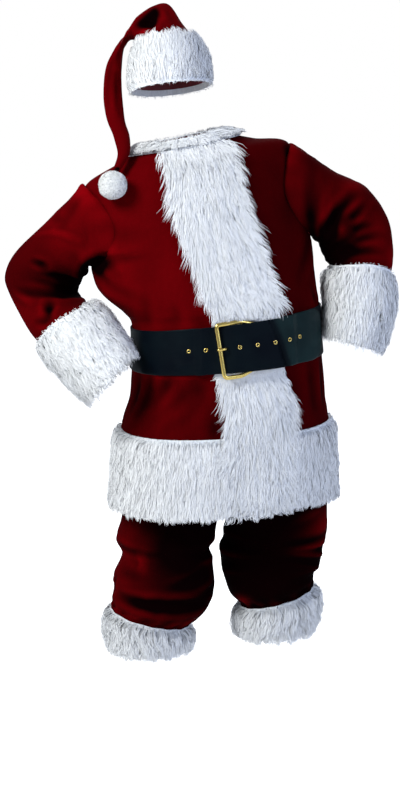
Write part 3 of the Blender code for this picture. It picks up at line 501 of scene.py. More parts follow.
def smooth(values, s):
    """A table column read between its rows, on a curve through all of them."""
    slope = np.gradient(values)
    k = np.clip(np.floor(s).astype(int), 0, len(values) - 2)
    t = s - k
    a, b, da, db = values[k], values[k + 1], slope[k], slope[k + 1]
    curve = (2 * t**3 - 3 * t**2 + 1) * a + (3 * t**2 - 2 * t**3) * b
    curve += (t**3 - 2 * t**2 + t) * da + (t**3 - t**2) * db
    before, after = a + t * da, b + (t - 1) * db
    return np.where(t < 0, before, np.where(t > 1, after, curve))


def power(value, exponent):
    """A power that keeps the sign."""
    return np.sign(value) * np.abs(value) ** exponent


def unit(vectors):
    return vectors / np.maximum(np.linalg.norm(vectors, axis=-1, keepdims=True), 1e-12)


def step(value):
    """0 to 1, with level ends."""
    value = np.clip(value, 0, 1)
    return value * value * (3 - 2 * value)


def bump(value):
    """1 at 0, falling off smoothly to both sides."""
    return np.exp(-(value**2))


def off(theta, place):
    """Degrees round a section from a place to theta, between -180 and 180."""
    return (theta - place + 180) % 360 - 180


def together(theta, s):
    """theta and s as floats, in arrays of one shape."""
    return np.broadcast_arrays(np.asarray(theta, float), np.asarray(s, float))


WAVES = 9              # waves that an unevenness is made of
WAVES_PEAK = 4.0       # what their sum seldom passes


def uneven(points, size, seed):
    """Smooth unevenness, mostly from -1 to 1, over space, with swells of about this size."""
    draw = np.random.default_rng(seed)
    waves = unit(draw.normal(size=(WAVES, 3))) * draw.uniform(0.6, 1.5, (WAVES, 1)) * 2 * math.pi / size
    phases = draw.uniform(0, 2 * math.pi, WAVES)
    return np.sin(points @ waves.T + phases).sum(axis=-1) / WAVES_PEAK


def sections(rows, turn=0.0, pitch=((0.0, 0.0),)):
    """The surface through a table of sections, as a function of theta in degrees and s."""
    table = columns(rows, SECTION)
    lean = math.radians(turn)
    pitch_s, pitch_rise = np.array(pitch).T

    def surface(theta, s):
        theta, s = np.broadcast_arrays(np.radians(theta), np.asarray(s, float))
        read = {name: smooth(values, s) for name, values in table.items()}
        side = power(np.cos(theta), 2 / read["square"])
        ahead = power(np.sin(theta), 2 / read["square"])
        depth = np.where(ahead > 0, read["front"], read["back"]) * ahead
        half_x, half_z = (read["x1"] - read["x2"]) / 2, (read["z1"] - read["z2"]) / 2
        x = (read["x1"] + read["x2"]) / 2 + half_x * side + math.sin(lean) * depth
        y = read["y"] + math.tan(lean) * half_x * side - math.cos(lean) * depth
        z = (read["z1"] + read["z2"]) / 2 + half_z * side + np.interp(s, pitch_s, pitch_rise) * depth
        return np.stack([x, y, z], axis=-1)

    return surface


def normals(surface, theta, s):
    """Unit normals, from the surface's own slopes."""
    small_theta, small_s = 0.5, 0.02
    across = surface(theta + small_theta, s) - surface(theta - small_theta, s)
    along = surface(theta, s + small_s) - surface(theta, s - small_s)
    return unit(np.cross(along, across))


def along_path(points, path):
    """For each point, the share of a path at which it is nearest and how far away the path is there."""
    share = np.zeros(points.shape[:-1])
    away = np.full(points.shape[:-1], np.inf)
    for k, (one, two) in enumerate(zip(path, path[1:])):
        along = two - one
        t = np.clip(((points - one) @ along) / max(along @ along, 1e-9), 0, 1)
        apart = np.linalg.norm(points - one - t[..., None] * along, axis=-1)
        share = np.where(apart < away, (k + t) / (len(path) - 1), share)
        away = np.minimum(apart, away)
    return share, away


FOLD_POINTS = 7        # points that a fold is followed through
FOLD_REACH = 4.5       # how many half widths from its path a fold still moves the cloth
FOLD_LIP = 0.42        # the ridge on both sides of a fold, as a share of its depth
FULL_FOLD = 0.011      # the depth at which a fold's painted shade is darkest
RIPPLE_SIZE = 0.09     # size of the ripple's swells
RIPPLE_DRIFT = 0.23    # size of the places where it is deeper or less deep
SPOT_DEPTH = 0.09      # how far a brushed place reaches from front to back
DARKEST = -1.6         # the least that the folds' painted shade, the broad painted shade and the painted shade spots add up to


class Cloth:
    """A surface that pieces are laid on: points at any height over it, along its own normals.

    folds are pressed into it, ripple gives it slight unevenness, and relief(theta, s) adds what a
    seam or gathers do to it.  Its shade is painted: darker in the hollows of folds, seams and
    gathers and lighter on ridges, with broad painted shade and light from a function of theta and s
    and spots of painted shade and painted highlights from a table.  middle is a section at which the
    surface goes round its own middle, which tells its outer side.
    """

    def __init__(self, base, folds, middle, ripple=0.0, seed=0, relief=None, nap=None, brushed=()):
        theta, s = together(np.arange(0, 360, 30.0), middle)
        ring = base(theta, s)
        away = np.sum(normals(base, theta, s) * (ring - ring.mean(axis=0)))
        self.sign = math.copysign(1, away)
        self.base, self.ripple, self.seed, self.relief, self.nap = base, ripple, seed, relief, nap
        self.folds, self.brushed = [], []
        if folds:
            table = columns(folds, FOLD)
            share = np.linspace(0, 1, FOLD_POINTS)[:, None]
            theta = table["theta1"] + (table["theta2"] - table["theta1"]) * share
            s = table["s1"] + (table["s2"] - table["s1"]) * share
            self.folds = list(zip(base(theta, s).swapaxes(0, 1), table["width"], table["depth"]))
        if brushed:
            table = columns(brushed, SHADING_SPOT)
            reach = np.stack([table["wide"], 0 * table["wide"] + SPOT_DEPTH, table["high"]], axis=-1)
            self.brushed = list(zip(base(table["theta"], table["s"]), reach, table["amount"]))

    def rise(self, points, theta, s):
        """How far folds, ripple and relief move the surface outwards."""
        drift = 0.6 + 0.4 * uneven(points, RIPPLE_DRIFT, self.seed + 1)
        move = np.array(self.ripple * (uneven(points, RIPPLE_SIZE, self.seed) * drift))
        for path, width, depth in self.folds:
            low, high = path.min(axis=0) - FOLD_REACH * width, path.max(axis=0) + FOLD_REACH * width
            near = np.all((points > low) & (points < high), axis=-1)
            t, away = along_path(points[near], path)
            away = away / (width * (1.1 - 0.35 * t))
            ends = (1 - t**1.7) * (0.45 + 0.55 * step(t / 0.22))
            move[near] -= depth * ends * (bump(away) - FOLD_LIP * bump((away - 1.9) / 0.8))
        if self.relief:
            move = move + self.relief(theta, s)
        return move

    def fold(self, theta, s):
        """Painted shade below 0, in a hollow, under broad painted shade or at a painted shade spot, and
        painted light up to 1, on a high ridge or at a painted highlight.
        """
        points = self.base(theta, s)
        share = self.rise(points, theta, s) / FULL_FOLD
        for middle, reach, amount in self.brushed:
            share = share + amount * bump(np.linalg.norm((points - middle) / reach, axis=-1))
        if self.nap:
            share = share + self.nap(theta, s)
        return np.clip(share, DARKEST, 1)

    def surface(self, theta, s):
        theta, s = together(theta, s)
        points = self.base(theta, s)
        out = normals(self.base, theta, s) * self.sign
        return points + out * self.rise(points, theta, s)[..., None]

    def outward(self, theta, s):
        return normals(self.surface, *together(theta, s)) * self.sign

    def at(self, theta, s, height=0.0):
        return self.surface(theta, s) + self.outward(theta, s) * np.asarray(height, float)[..., None]


# How far seams draw the cloth in, and how far gathers lift it.
JACKET_SEAM = 0.0011
TROUSER_SEAM = 0.0012
CAP_SEAM = 0.0014
SET_IN_SEAM = 0.0014   # round the armhole, on the jacket and on the sleeve
BELT_GATHERS = 0.0015
SLEEVE_GATHERS = 0.0016
LEG_GATHERS = 0.0022
SLEEVE_PUFF = 0.0120   # how far the sleeve's head stands out at the shoulder
FUR_DRAWS_IN = 0.0020  # how far the cloth is drawn in under the edge of a band of fur

# Broad painted shade on the velvet below 0, and painted light above 0.
JACKET_SHADE = -0.24
JACKET_LEFT_SHADE = -0.23
JACKET_RIGHT_LIGHT = 0.24
FOREARM_SHADE = -0.42
CUFF_END_LIGHT = 0.24
LEFT_SLEEVE_SHADE = -0.41
RIGHT_LEG_SHADE = -0.36
INNER_LEG_SHADE = -0.56
LEFT_LEG_SHADE = -1.12


def gathers(theta, count, sway, sways):
    """A number of pleats round a section, pushed to and fro by sway, this many times round it."""
    turn = np.radians(theta)
    return np.sin(turn * count + sway * np.sin(turn * sways))


def armhole_edge(s):
    """Degrees from the side of the section to the armhole's edge, 0 where there is none."""
    reach = np.clip((s - ARMHOLE_MIDDLE) / ARMHOLE_REACH, -1, 1)
    return ARMHOLE * np.sqrt(1 - reach**2)


def torso_relief(theta, s):
    """The side seams, the front edges and the armholes drawn in, and the cloth gathered at the belt."""
    seams = sum(bump(off(theta, seam) / 1.3) for seam in (0.0, 90.0, 180.0))
    from_side = np.minimum(np.abs(off(theta, 0)), np.abs(off(theta, 180)))
    loop = np.hypot(from_side / ARMHOLE, (s - ARMHOLE_MIDDLE) / ARMHOLE_REACH) - 1
    armhole = bump(loop / 0.055)
    above, below = bump((s - BELT_TOP - 0.35) / 0.55), bump((s - BELT_BOTTOM + 0.55) / 0.55)
    pleats = gathers(theta, 21, 1.3, 4) * (0.55 + 0.45 * np.sin(np.radians(theta) * 3 + 2))
    return -JACKET_SEAM * seams - SET_IN_SEAM * armhole + BELT_GATHERS * pleats * (above + below)


def sleeve_relief(theta, s):
    """The sleeve's head, eased into the armhole with small gathers, most of them at the shoulder."""
    top = 0.5 + 0.5 * np.cos(np.radians(theta))
    seam = bump(s / 0.14)
    puff = bump((s - 0.60) / 0.36) - 0.25 * bump((s - 1.30) / 0.35)
    pleats = gathers(theta, 15, 1.1, 2) * bump((s - 0.45) / 0.5)
    head = SLEEVE_PUFF * puff * top**3 - SET_IN_SEAM * seam * top
    return head + SLEEVE_GATHERS * pleats * (0.2 + top) - FUR_DRAWS_IN * bump((s - CUFF_TOP) / 0.35)


def left_sleeve_relief(theta, s):
    """The same, half as deep."""
    return 0.5 * sleeve_relief(theta, s)


def leg_relief(theta, s):
    """The outer seam and the inseam drawn in, and the cloth gathered into the fur cuff."""
    seams = bump(off(theta, 0) / 2.0) + bump(off(theta, 180) / 2.0)
    pleats = gathers(theta, 13, 1.2, 3) * bump(s - LEG_FUR_TOP + 0.8)
    return -TROUSER_SEAM * seams + LEG_GATHERS * pleats


def hat_relief(theta, s):
    """The seam down the cap's side, and the cloth drawn in at the fur band."""
    return -CAP_SEAM * bump(off(theta, 0) / 3.0) - FUR_DRAWS_IN * bump((s - HAT_BAND_TOP - 0.05) / 0.2)


def torso_painted_light(theta, s):
    """Painted shade over the whole jacket, deeper on the front at the wearer's left, and painted light on
    the front's right above the belt.
    """
    front = step((np.sin(np.radians(theta)) + 0.6) / 0.6)
    left = step((92 - np.abs(off(theta, 0))) / 4)
    below = step((BELT_BOTTOM - s) / 0.2)
    return JACKET_SHADE + front * (JACKET_LEFT_SHADE * left + JACKET_RIGHT_LIGHT * (1 - left) * (1 - below))


def sleeve_painted_light(theta, s):
    """Painted shade on the forearm, less of it near the cuff, and more at the inner side of the elbow."""
    inner = bump(off(theta, 180) / 62.0) * bump((s - 3.8) / 1.8)
    return FOREARM_SHADE * step((s - 1.7) / 1.1) + CUFF_END_LIGHT * step((s - 4.8) / 0.8) - 0.85 * inner


def left_sleeve_painted_shade(theta, s):
    """The same painted shade at the inner side of the elbow, on a sleeve that has painted shade all over."""
    inner = bump(off(theta, 180) / 66.0) * bump((s - 3.8) / 1.9)
    return LEFT_SLEEVE_SHADE - 0.95 * inner


def shade_under_hem(s):
    """The top of the leg under the jacket's hem, where the leg takes more painted shade."""
    return bump((s - LEG_START - 0.5) / 0.7)


def leg_painted_shade(theta, s):
    """Painted shade on the leg, more on its inner side and under the jacket's hem."""
    inner = np.clip((np.abs(off(theta, 0)) - 44) / 60, 0, 1)
    return RIGHT_LEG_SHADE + INNER_LEG_SHADE * inner - 0.25 * shade_under_hem(s)


def left_leg_painted_shade(theta, s):
    """Painted shade on the whole leg, deeper than on the other one, and more under the jacket's hem."""
    return LEFT_LEG_SHADE - 0.30 * shade_under_hem(s)


def jacket_with_folds():
    """The jacket's cloth with nothing but its folds, as what is set into it or worn on it lies."""
    return Cloth(sections(TORSO, TURN, TORSO_PITCH), TORSO_FOLDS, BELT_TOP)


def sleeve_base(rows, side):
    """The sleeve's surface: the armhole's own loop first, then the table's sections."""
    tube = sections(rows)
    to_front = 1 if side == 0 else -1
    degrees = np.arange(-20, 381, 1.0)
    turned = np.radians(degrees)
    edge_theta = side + to_front * ARMHOLE * np.sin(turned)
    edge_s = ARMHOLE_MIDDLE + ARMHOLE_REACH * np.cos(turned)
    edge = jacket_with_folds().at(edge_theta, edge_s, 0 * turned + SLEEVE_LIFT)

    def surface(theta, s):
        theta, s = together(theta, s)
        where = np.mod(theta, 360)
        loop = np.stack([np.interp(where, degrees, edge[:, axis]) for axis in range(3)], axis=-1)
        own = step(s / SLEEVE_BLEND)[..., None]
        return loop * (1 - own) + tube(theta, s) * own

    return surface


def leg_base(rows, hips_side):
    """One half of the trousers: the hips' half section above the crotch, a leg's own below it."""
    hips = sections(HIPS)
    leg = sections(rows)
    turn = 1 if hips_side == 0 else -1

    def surface(theta, s):
        theta, s = together(theta, s)
        above = hips(hips_side + turn * theta / 2, np.minimum(s, LEG_START))
        below = leg(theta, np.maximum(s - LEG_START, -0.4))
        own = step((s - HIPS_END) / (LEG_START - HIPS_END))[..., None]
        return above * (1 - own) + below * own

    return surface


class Forms:
    """The suit's surfaces, made once for all operators, and again when the ripple is changed."""

    made = {}

    @classmethod
    def get(cls, name):
        ripple = bpy.context.scene.suit_cloth.ripple
        if ripple not in cls.made:
            cls.made[ripple] = cls.make(ripple)
        return cls.made[ripple][name]

    @staticmethod
    def make(ripple):
        return {
            "torso": Cloth(
                sections(TORSO, TURN, TORSO_PITCH), TORSO_FOLDS, BELT_TOP,
                ripple, 11, torso_relief, torso_painted_light, TORSO_PAINTED_SHADING,
            ),
            "sleeve_right": Cloth(
                sleeve_base(SLEEVE_RIGHT, 180), SLEEVE_RIGHT_FOLDS, CUFF_TOP,
                ripple, 21, sleeve_relief, sleeve_painted_light, SLEEVE_RIGHT_PAINTED_SHADING,
            ),
            "sleeve_left": Cloth(
                sleeve_base(SLEEVE_LEFT, 0), SLEEVE_LEFT_FOLDS, CUFF_TOP,
                ripple, 31, left_sleeve_relief, left_sleeve_painted_shade, SLEEVE_LEFT_PAINTED_SHADING,
            ),
            "leg_right": Cloth(
                leg_base(LEG_RIGHT, 180), LEG_RIGHT_FOLDS, LEG_CUFF,
                ripple, 41, leg_relief, leg_painted_shade, LEG_RIGHT_PAINTED_SHADING,
            ),
            "leg_left": Cloth(
                leg_base(LEG_LEFT, 0), LEG_LEFT_FOLDS, LEG_CUFF,
                ripple, 51, leg_relief, left_leg_painted_shade, LEG_LEFT_PAINTED_SHADING,
            ),
            "hat": Cloth(
                sections(HAT, pitch=HAT_PITCH), HAT_FOLDS, 0,
                ripple, 61, hat_relief, None, HAT_PAINTED_SHADING,
            ),
        }


# ---------------------------------------------------------------- meshes

def mesh_object(name, points, faces, materials, face_material=None, smooth_below=50, fold=None):
    """An object from points and faces, shaded smooth except at sharp rims."""
    data = bpy.data.meshes.new(name)
    data.from_pydata(points.tolist(), [], faces if isinstance(faces, list) else faces.tolist())
    for material in materials:
        data.materials.append(material)
    if face_material is not None:
        data.polygons.foreach_set("material_index", np.asarray(face_material, np.int32))
    data.shade_smooth()
    if smooth_below:
        data.set_sharp_from_angle(angle=math.radians(smooth_below))
    # fold carries painted shade and light on the velvet, and on the strap the mask of its painted
    # reflection.
    if fold is not None:
        data.attributes.new("fold", "FLOAT", "POINT").data.foreach_set("value", np.asarray(fold, np.float32))
    data.update()
    thing = bpy.data.objects.new(name, data)
    bpy.context.scene.collection.objects.link(thing)
    return thing


def grid_faces(rows, cols, wrap, start=0, flip=False):
    """Quads over a grid of points counted from start; wrap joins its last column to its first."""
    i, j = np.meshgrid(np.arange(rows - 1), np.arange(cols if wrap else cols - 1), indexing="ij")
    k = (j + 1) % cols
    this, after = i * cols, (i + 1) * cols
    quads = np.stack([this + j, this + k, after + k, after + j], axis=-1).reshape(-1, 4) + start
    return quads[:, ::-1] if flip else quads


def rim_faces(a, b, count, flip):
    """Quads from an edge of the outer grid, a to b, to the same edge of the inner one."""
    quads = np.stack([a, b, b + count, a + count], axis=-1)
    return quads[:, ::-1] if flip else quads


def wall(name, outer, inner, materials, closed=False, fold=None):
    """A closed wall between two like grids of points; its inner side takes the second material.

    fold gives each point's painted shading: below 0 for painted shade, as in a hollow, and above 0 for
    painted light, as on a ridge.
    """
    rows, cols = outer.shape[:2]
    count = rows * cols
    points = np.concatenate([outer.reshape(-1, 3), inner.reshape(-1, 3)])
    top, under = grid_faces(rows, cols, closed), grid_faces(rows, cols, closed, count, True)
    j, last = np.arange(cols if closed else cols - 1), (rows - 1) * cols
    k = (j + 1) % cols
    rims = [rim_faces(j, k, count, False), rim_faces(last + j, last + k, count, True)]
    if not closed:
        i = np.arange(rows - 1) * cols
        rims.append(rim_faces(i, i + cols, count, True))
        rims.append(rim_faces(i + cols - 1, i + 2 * cols - 1, count, False))
    faces = np.concatenate([top, under, *rims])
    f = top[len(top) // 2]
    face_normal = np.cross(points[f[1]] - points[f[0]], points[f[3]] - points[f[0]])
    outward = points[f[0]] - points[f[0] + count]
    if face_normal @ outward < 0:
        faces = faces[:, ::-1]
    which = np.zeros(len(faces), int)
    if len(materials) > 1:
        which[len(top):len(top) + len(under)] = 1
    shade = None if fold is None else np.tile(np.ravel(fold), 2)
    return mesh_object(name, points, faces, materials, which, fold=shade)


def cells(grid):
    """The area of each cell of a grid of points."""
    across, down = np.diff(grid, axis=1), np.diff(grid, axis=0)
    return np.linalg.norm(np.cross(across[:-1], down[:, :-1]), axis=-1)


def lengths(grid):
    """Each row's and each column's length in a grid of points."""
    across, down = np.diff(grid, axis=1), np.diff(grid, axis=0)
    return np.linalg.norm(across, axis=-1).sum(axis=1), np.linalg.norm(down, axis=-1).sum(axis=0)


def declare(thing, node):
    """Hangs a cloth piece on the root and hides the plain solid named node."""
    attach(thing, "root")
    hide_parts(node)


def declare_hard(thing, node):
    """Hangs a piece that isn't cloth on the root and hides the plain solid named node."""
    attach(thing, "root")
    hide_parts(node)


def spaced(long, finest):
    """How many points a length takes, no further apart than finest."""
    return max(3, int(math.ceil(long / finest)) + 1)


def round_front(torso, s, distances):
    """theta at these distances from the front edge, towards +X round each section in s."""
    theta = np.linspace(-60, 240, 601)
    places = []
    for one_s, row in zip(s, distances):
        line = torso.base(theta, np.full(theta.shape, one_s))
        run = np.concatenate([[0], np.cumsum(np.linalg.norm(np.diff(line, axis=0), axis=1))])
        places.append(np.interp(np.interp(90, theta, run) - row, run, theta))
    return np.array(places)


def band(torso, s, offsets):
    """theta at these distances, towards +X, from the middle of the front fur."""
    table = np.array(BAND_SWING)
    middle = np.interp(s, table[:, 0], table[:, 1])
    return round_front(torso, s, middle[:, None] + np.broadcast_to(offsets, (len(s), np.shape(offsets)[-1])))


# ---------------------------------------------------------------- materials

class Value:
    """A number or colour on a shader socket, so that a material is written as an expression."""

    def __init__(self, paint, socket):
        self.paint, self.socket = paint, socket

    def math(self, operation, *values):
        return self.paint.node("ShaderNodeMath", {"operation": operation}, *values)

    def __add__(self, other):
        return self.math("ADD", self, other)

    def __sub__(self, other):
        return self.math("SUBTRACT", self, other)

    def __rsub__(self, other):
        return self.math("SUBTRACT", other, self)

    def __mul__(self, other):
        return self.math("MULTIPLY", self, other)

    __radd__, __rmul__ = __add__, __mul__

    def between(self, low, high):
        """0 below low, 1 above high, smooth between."""
        settings = {"interpolation_type": "SMOOTHSTEP"}
        return self.paint.node("ShaderNodeMapRange", settings, self, low, high)


class Paint:
    """One material and the nodes in front of its Principled shader."""

    def __init__(self, name):
        self.material = bpy.data.materials.new(name)
        self.material.use_nodes = True
        self.tree = self.material.node_tree
        self.shader = self.tree.nodes["Principled BSDF"]

    def node(self, kind, settings, *values, output=0, **named):
        """Any node: its settings first, then its sockets' values or links by order or by name."""
        node = self.tree.nodes.new(kind)
        for key, value in settings.items():
            setattr(node, key, value)
        places = [(node.inputs[i], value) for i, value in enumerate(values)]
        places += [(node.inputs[key.replace("_", " ")], value) for key, value in named.items()]
        for socket, value in places:
            self.put(socket, value)
        return Value(self, node.outputs[output])

    def put(self, socket, value):
        """Links a value to a socket, or sets the socket to it."""
        if isinstance(value, Value):
            self.tree.links.new(value.socket, socket)
        elif hasattr(socket.default_value, "__len__") and len(socket.default_value) == 4 and len(value) == 3:
            socket.default_value = (*value, 1.0)
        else:
            socket.default_value = value

    def place(self, scale=(1, 1, 1)):
        """The point on the object, stretched by scale."""
        spot = self.node("ShaderNodeTexCoord", {}, output=3)
        return self.node("ShaderNodeMapping", {}, Vector=spot, Scale=scale)

    def noise(self, size, detail=2.0, stretch=(1, 1, 1), roughness=0.5):
        """Even noise from 0 to 1 with grains of about this size in metres."""
        grain = {"Scale": 1 / size, "Detail": detail, "Roughness": roughness}
        return self.node("ShaderNodeTexNoise", {}, Vector=self.place(stretch), **grain)

    def mix(self, share, a, b):
        """Colour a where share is 0, colour b where it is 1."""
        node = self.tree.nodes.new("ShaderNodeMix")
        node.data_type = "RGBA"
        for name, value in (("Factor_Float", share), ("A_Color", a), ("B_Color", b)):
            self.put(next(i for i in node.inputs if i.identifier == name), value)
        return Value(self, next(o for o in node.outputs if o.identifier == "Result_Color"))

    def attribute(self, name):
        return self.node("ShaderNodeAttribute", {"attribute_name": name}, output=2)

    def bump(self, height, distance, strength=1.0):
        return self.node("ShaderNodeBump", {}, Height=height, Distance=distance, Strength=strength)

    def set(self, **values):
        """Sets the shader's sockets and gives the finished material."""
        for key, value in values.items():
            self.put(self.shader.inputs[key.replace("_", " ")], value)
        return self.material


def darker(shade, share):
    """A colour brought down to this share of its light."""
    return tuple(channel * share for channel in shade)


def halfway(one, other):
    return tuple(0.5 * (a + b) for a, b in zip(one, other))


def velvet(name, light, deep):
    """Short dense pile with painted shade: black in hollows and at painted shade spots, red where it is
    painted lit, with a painted sheen towards grazing angles.
    """
    paint = Paint(name)
    drift = paint.noise(0.13, 2.0, (1, 1, 0.6)).between(0.3, 0.7)
    mottle = paint.noise(0.010, 3.0, (1, 1, 0.5), 0.6).between(0.25, 0.75)
    # painted sheen: the colour turns brighter towards grazing angles
    grazing_sheen = paint.node("ShaderNodeLayerWeight", {}, 0.30, output=1)
    # painted shade and light: darker in hollows and painted shade spots, lighter on ridges and painted
    # highlights
    stands = paint.attribute("fold").between(-1.15, 1.15)
    pile = paint.noise(0.0016, 2.0) * 0.6 + paint.noise(0.006, 2.0) * 0.4
    return paint.set(
        Base_Color=paint.mix(stands * (drift * 0.16 + mottle * 0.08 + grazing_sheen * 0.30 + 0.84), deep, light),
        Roughness=0.95 - mottle * 0.08,
        Normal=paint.bump(pile, 0.0005, 0.4),
        Specular_IOR_Level=0.008,
    )


def lining_cloth(name, shade):
    """Plain woven lining."""
    paint = Paint(name)
    weave = paint.noise(0.0014, 1.0, (1, 1, 4)) * 0.5 + paint.noise(0.0014, 1.0, (4, 4, 1)) * 0.5
    tone = paint.noise(0.05, 2.0).between(0.3, 0.7)
    return paint.set(
        Base_Color=paint.mix(tone, darker(shade, 0.7), shade),
        Roughness=0.6,
        Normal=paint.bump(weave, 0.0003, 0.5),
    )


def fur_pile(name, root, tip):
    """Strands of long pile, with painted shade at the root, darker and bluer, and a tone of its own for each
    lock.
    """
    paint = Paint(name)
    along, tone = paint.attribute("pile"), paint.attribute("tone")
    drift = paint.noise(0.10, 2.0).between(0.3, 0.7)
    bright = paint.mix(drift, darker(tip, 0.955), tip)
    return paint.set(
        Base_Color=paint.mix(along.between(-0.10, 0.40) * (0.86 + tone * 0.14), root, bright),
        Roughness=0.62,
        Specular_IOR_Level=0.25,
        Sheen_Weight=0.15,
        Sheen_Roughness=0.5,
    )


def fur_backing(name, root, tip):
    """The close underfur and the knit backing under the long pile, coloured from the roots' painted shade.
    """
    paint = Paint(name)
    grain = paint.noise(0.004, 3.0, (1, 1, 0.4), 0.6)
    return paint.set(
        Base_Color=paint.mix(grain.between(0.3, 0.7), darker(root, 0.9), halfway(root, tip)),
        Roughness=0.9,
        Normal=paint.bump(grain, 0.002, 0.8),
    )


def leather(name, shade, worn):
    """Smooth belt leather: fine grain, a broad soft gloss, and a painted green-grey reflection past the
    crease, in patches.
    """
    paint = Paint(name)
    # patches of painted reflection, and a little of it all over the strap
    sheen = paint.noise(0.09, 2.0).between(0.30, 0.75)
    grain = paint.noise(0.0022, 2.0, roughness=0.6)
    wear = paint.noise(0.03, 3.0, (1, 1, 2.0)).between(0.35, 0.75)
    return paint.set(
        Base_Color=paint.mix(paint.attribute("fold") * (0.62 + sheen * 0.38) + sheen * 0.14, shade, worn),
        Roughness=0.42 + wear * 0.14,
        Normal=paint.bump(grain, 0.0004, 0.35),
        Specular_IOR_Level=0.05,
    )


def brass(name, shade):
    """Polished brass with faint tarnish."""
    paint = Paint(name)
    tarnish = paint.noise(0.008, 3.0).between(0.35, 0.8)
    tarnished = tuple(channel * share for channel, share in zip(shade, (0.80, 0.72, 0.55)))
    scratch = paint.noise(0.0012, 2.0, (1, 1, 0.2))
    return paint.set(
        Base_Color=paint.mix(tarnish, shade, tarnished),
        Metallic=1.0,
        Roughness=0.16 + tarnish * 0.14,
        Normal=paint.bump(scratch, 0.0002, 0.25),
    )


def floor_paint(name, shade):
    """A plain matt floor, lit evenly enough to read white."""
    paint = Paint(name)
    tone = paint.noise(0.9, 2.0).between(0.2, 0.8)
    seen = paint.node("ShaderNodeLightPath", {}, output=0)
    return paint.set(
        Base_Color=paint.mix(tone, darker(shade, 0.985), shade),
        Roughness=0.9,
        Specular_IOR_Level=0.1,
        Emission_Color=paint.mix(seen, (0, 0, 0), (1, 1, 1)),
        Emission_Strength=0.85,
    )


class Materials:
    """Each material made when a piece first asks for it, and again when its colours are changed."""

    made = {}

    @classmethod
    def get(cls, name):
        scene = bpy.context.scene
        cloth, fur, belt = scene.suit_cloth, scene.suit_fur, scene.suit_belt
        makers = {
            "velvet": (velvet, cloth.velvet, cloth.velvet_deep),
            "lining": (lining_cloth, cloth.lining),
            "fur_pile": (fur_pile, fur.root, fur.tip),
            "fur_backing": (fur_backing, fur.root, fur.tip),
            # the pompom's roots are painted in shade, darker than its tips
            "pompom_pile": (fur_pile, darker(fur.pompom, 0.82), fur.pompom),
            "leather": (leather, belt.leather, belt.worn),
            "brass": (brass, belt.brass),
            "floor": (floor_paint, scene.suit_stage.floor),
        }
        maker, *colours = makers[name]
        key = (name, *(tuple(shade) for shade in colours))
        if key not in cls.made:
            cls.made[key] = maker(*key)
        return cls.made[key]


# ---------------------------------------------------------------- cloth pieces

ARMHOLE_ROWS = 31      # rows of points across each armhole
# About how high the jacket's sections lie over each other, from the hem to the armhole's lower
# end and from its upper end to the neck.
HEIGHTS_BELOW = (0.19, 0.07, 0.096, 0.11, 0.035, 0.055, 0.07)
HEIGHTS_ABOVE = (0.09, 0.10)
TORSO_RADIUS = 0.25    # the jacket's half width, for the gap at a seam
TORSO_GIRTH = 1.36     # the most that it is round


def panel_grid(cloth, theta, s):
    """The outer and inner points of a piece of cloth, and its painted shade and light: how far folds move
    it, as a share, with the broad and spot painted shading.
    """
    outer, out = cloth.surface(theta, s), cloth.outward(theta, s)
    return outer, outer - CLOTH * out, cloth.fold(theta, s)


def torso_rows(finest):
    """s for the jacket's rows, evenly spaced by length, and close together at the armholes."""
    turn = np.radians(np.linspace(180, 0, ARMHOLE_ROWS))
    armhole = ARMHOLE_MIDDLE + ARMHOLE_REACH * np.cos(turn)
    below = [np.linspace(k, k + 1, spaced(h, finest))[:-1] for k, h in enumerate(HEIGHTS_BELOW)]
    above = [np.linspace(k, k + 1, spaced(h, finest))[1:] for k, h in enumerate(HEIGHTS_ABOVE, SHOULDER)]
    return np.concatenate([*below, armhole, *above])


def seam_shares(count):
    """Places from 0 to 1, closer together near both ends."""
    t = np.linspace(0, 1, count)
    return t - 0.11 * np.sin(2 * math.pi * t)


def torso_panel(name, first, last, finest):
    """One cut piece of the jacket between two seams, cut away at the armholes."""
    s = torso_rows(finest)[:, None]
    seam = math.degrees(SEAM / 2 / TORSO_RADIUS)
    open_side = armhole_edge(s) + seam
    low = first + (open_side if first % 180 == 0 else seam)
    high = last - (open_side if last % 180 == 0 else seam)
    count = spaced((last - first) / 360 * TORSO_GIRTH, finest)
    theta = low + (high - low) * seam_shares(count)[None, :]
    outer, inner, fold = panel_grid(Forms.get("torso"), theta, s + 0 * theta)
    materials = [Materials.get("velvet"), Materials.get("lining")]
    thing = wall(f"{name}_velvet", outer, inner, materials, fold=fold)
    declare(thing, name)


def cloth_tube(name, cloth, s, around):
    """A cut piece sewn into a tube, with this many points round it."""
    theta, s = np.meshgrid(np.linspace(0, 360, around, endpoint=False), s)
    outer, inner, fold = panel_grid(cloth, theta, s)
    materials = [Materials.get("velvet"), Materials.get("lining")]
    thing = wall(f"{name}_velvet", outer, inner, materials, True, fold)
    declare(thing, name)


# ---------------------------------------------------------------- fur

STRAND_STEPS = 4       # points along a strand
STRAND_TAPER = (1.0, 1.0, 0.65, 0.0)
POMPOM_TAPER = (1.0, 1.0, 0.8, 0.0)
PILE_SMOOTHNESS = 0.86  # how far strands are lit as one surface, from 0 to 1
EDGE_ROLL = 0.0035     # how near the first edge strands are brushed back over it
EDGE_REACH = 0.011     # how far from it strands still stand up
EDGE_HEIGHT = 0.55     # the share of their height that strands brushed back over it keep
STAND_LIMITS = (15, 104)  # the least and the most angle at which strands leave the backing
STRAND_ROLL = 34.0     # how far strands are rolled on their own length, in degrees
BACKING = 0.0028       # knit backing with its underfur


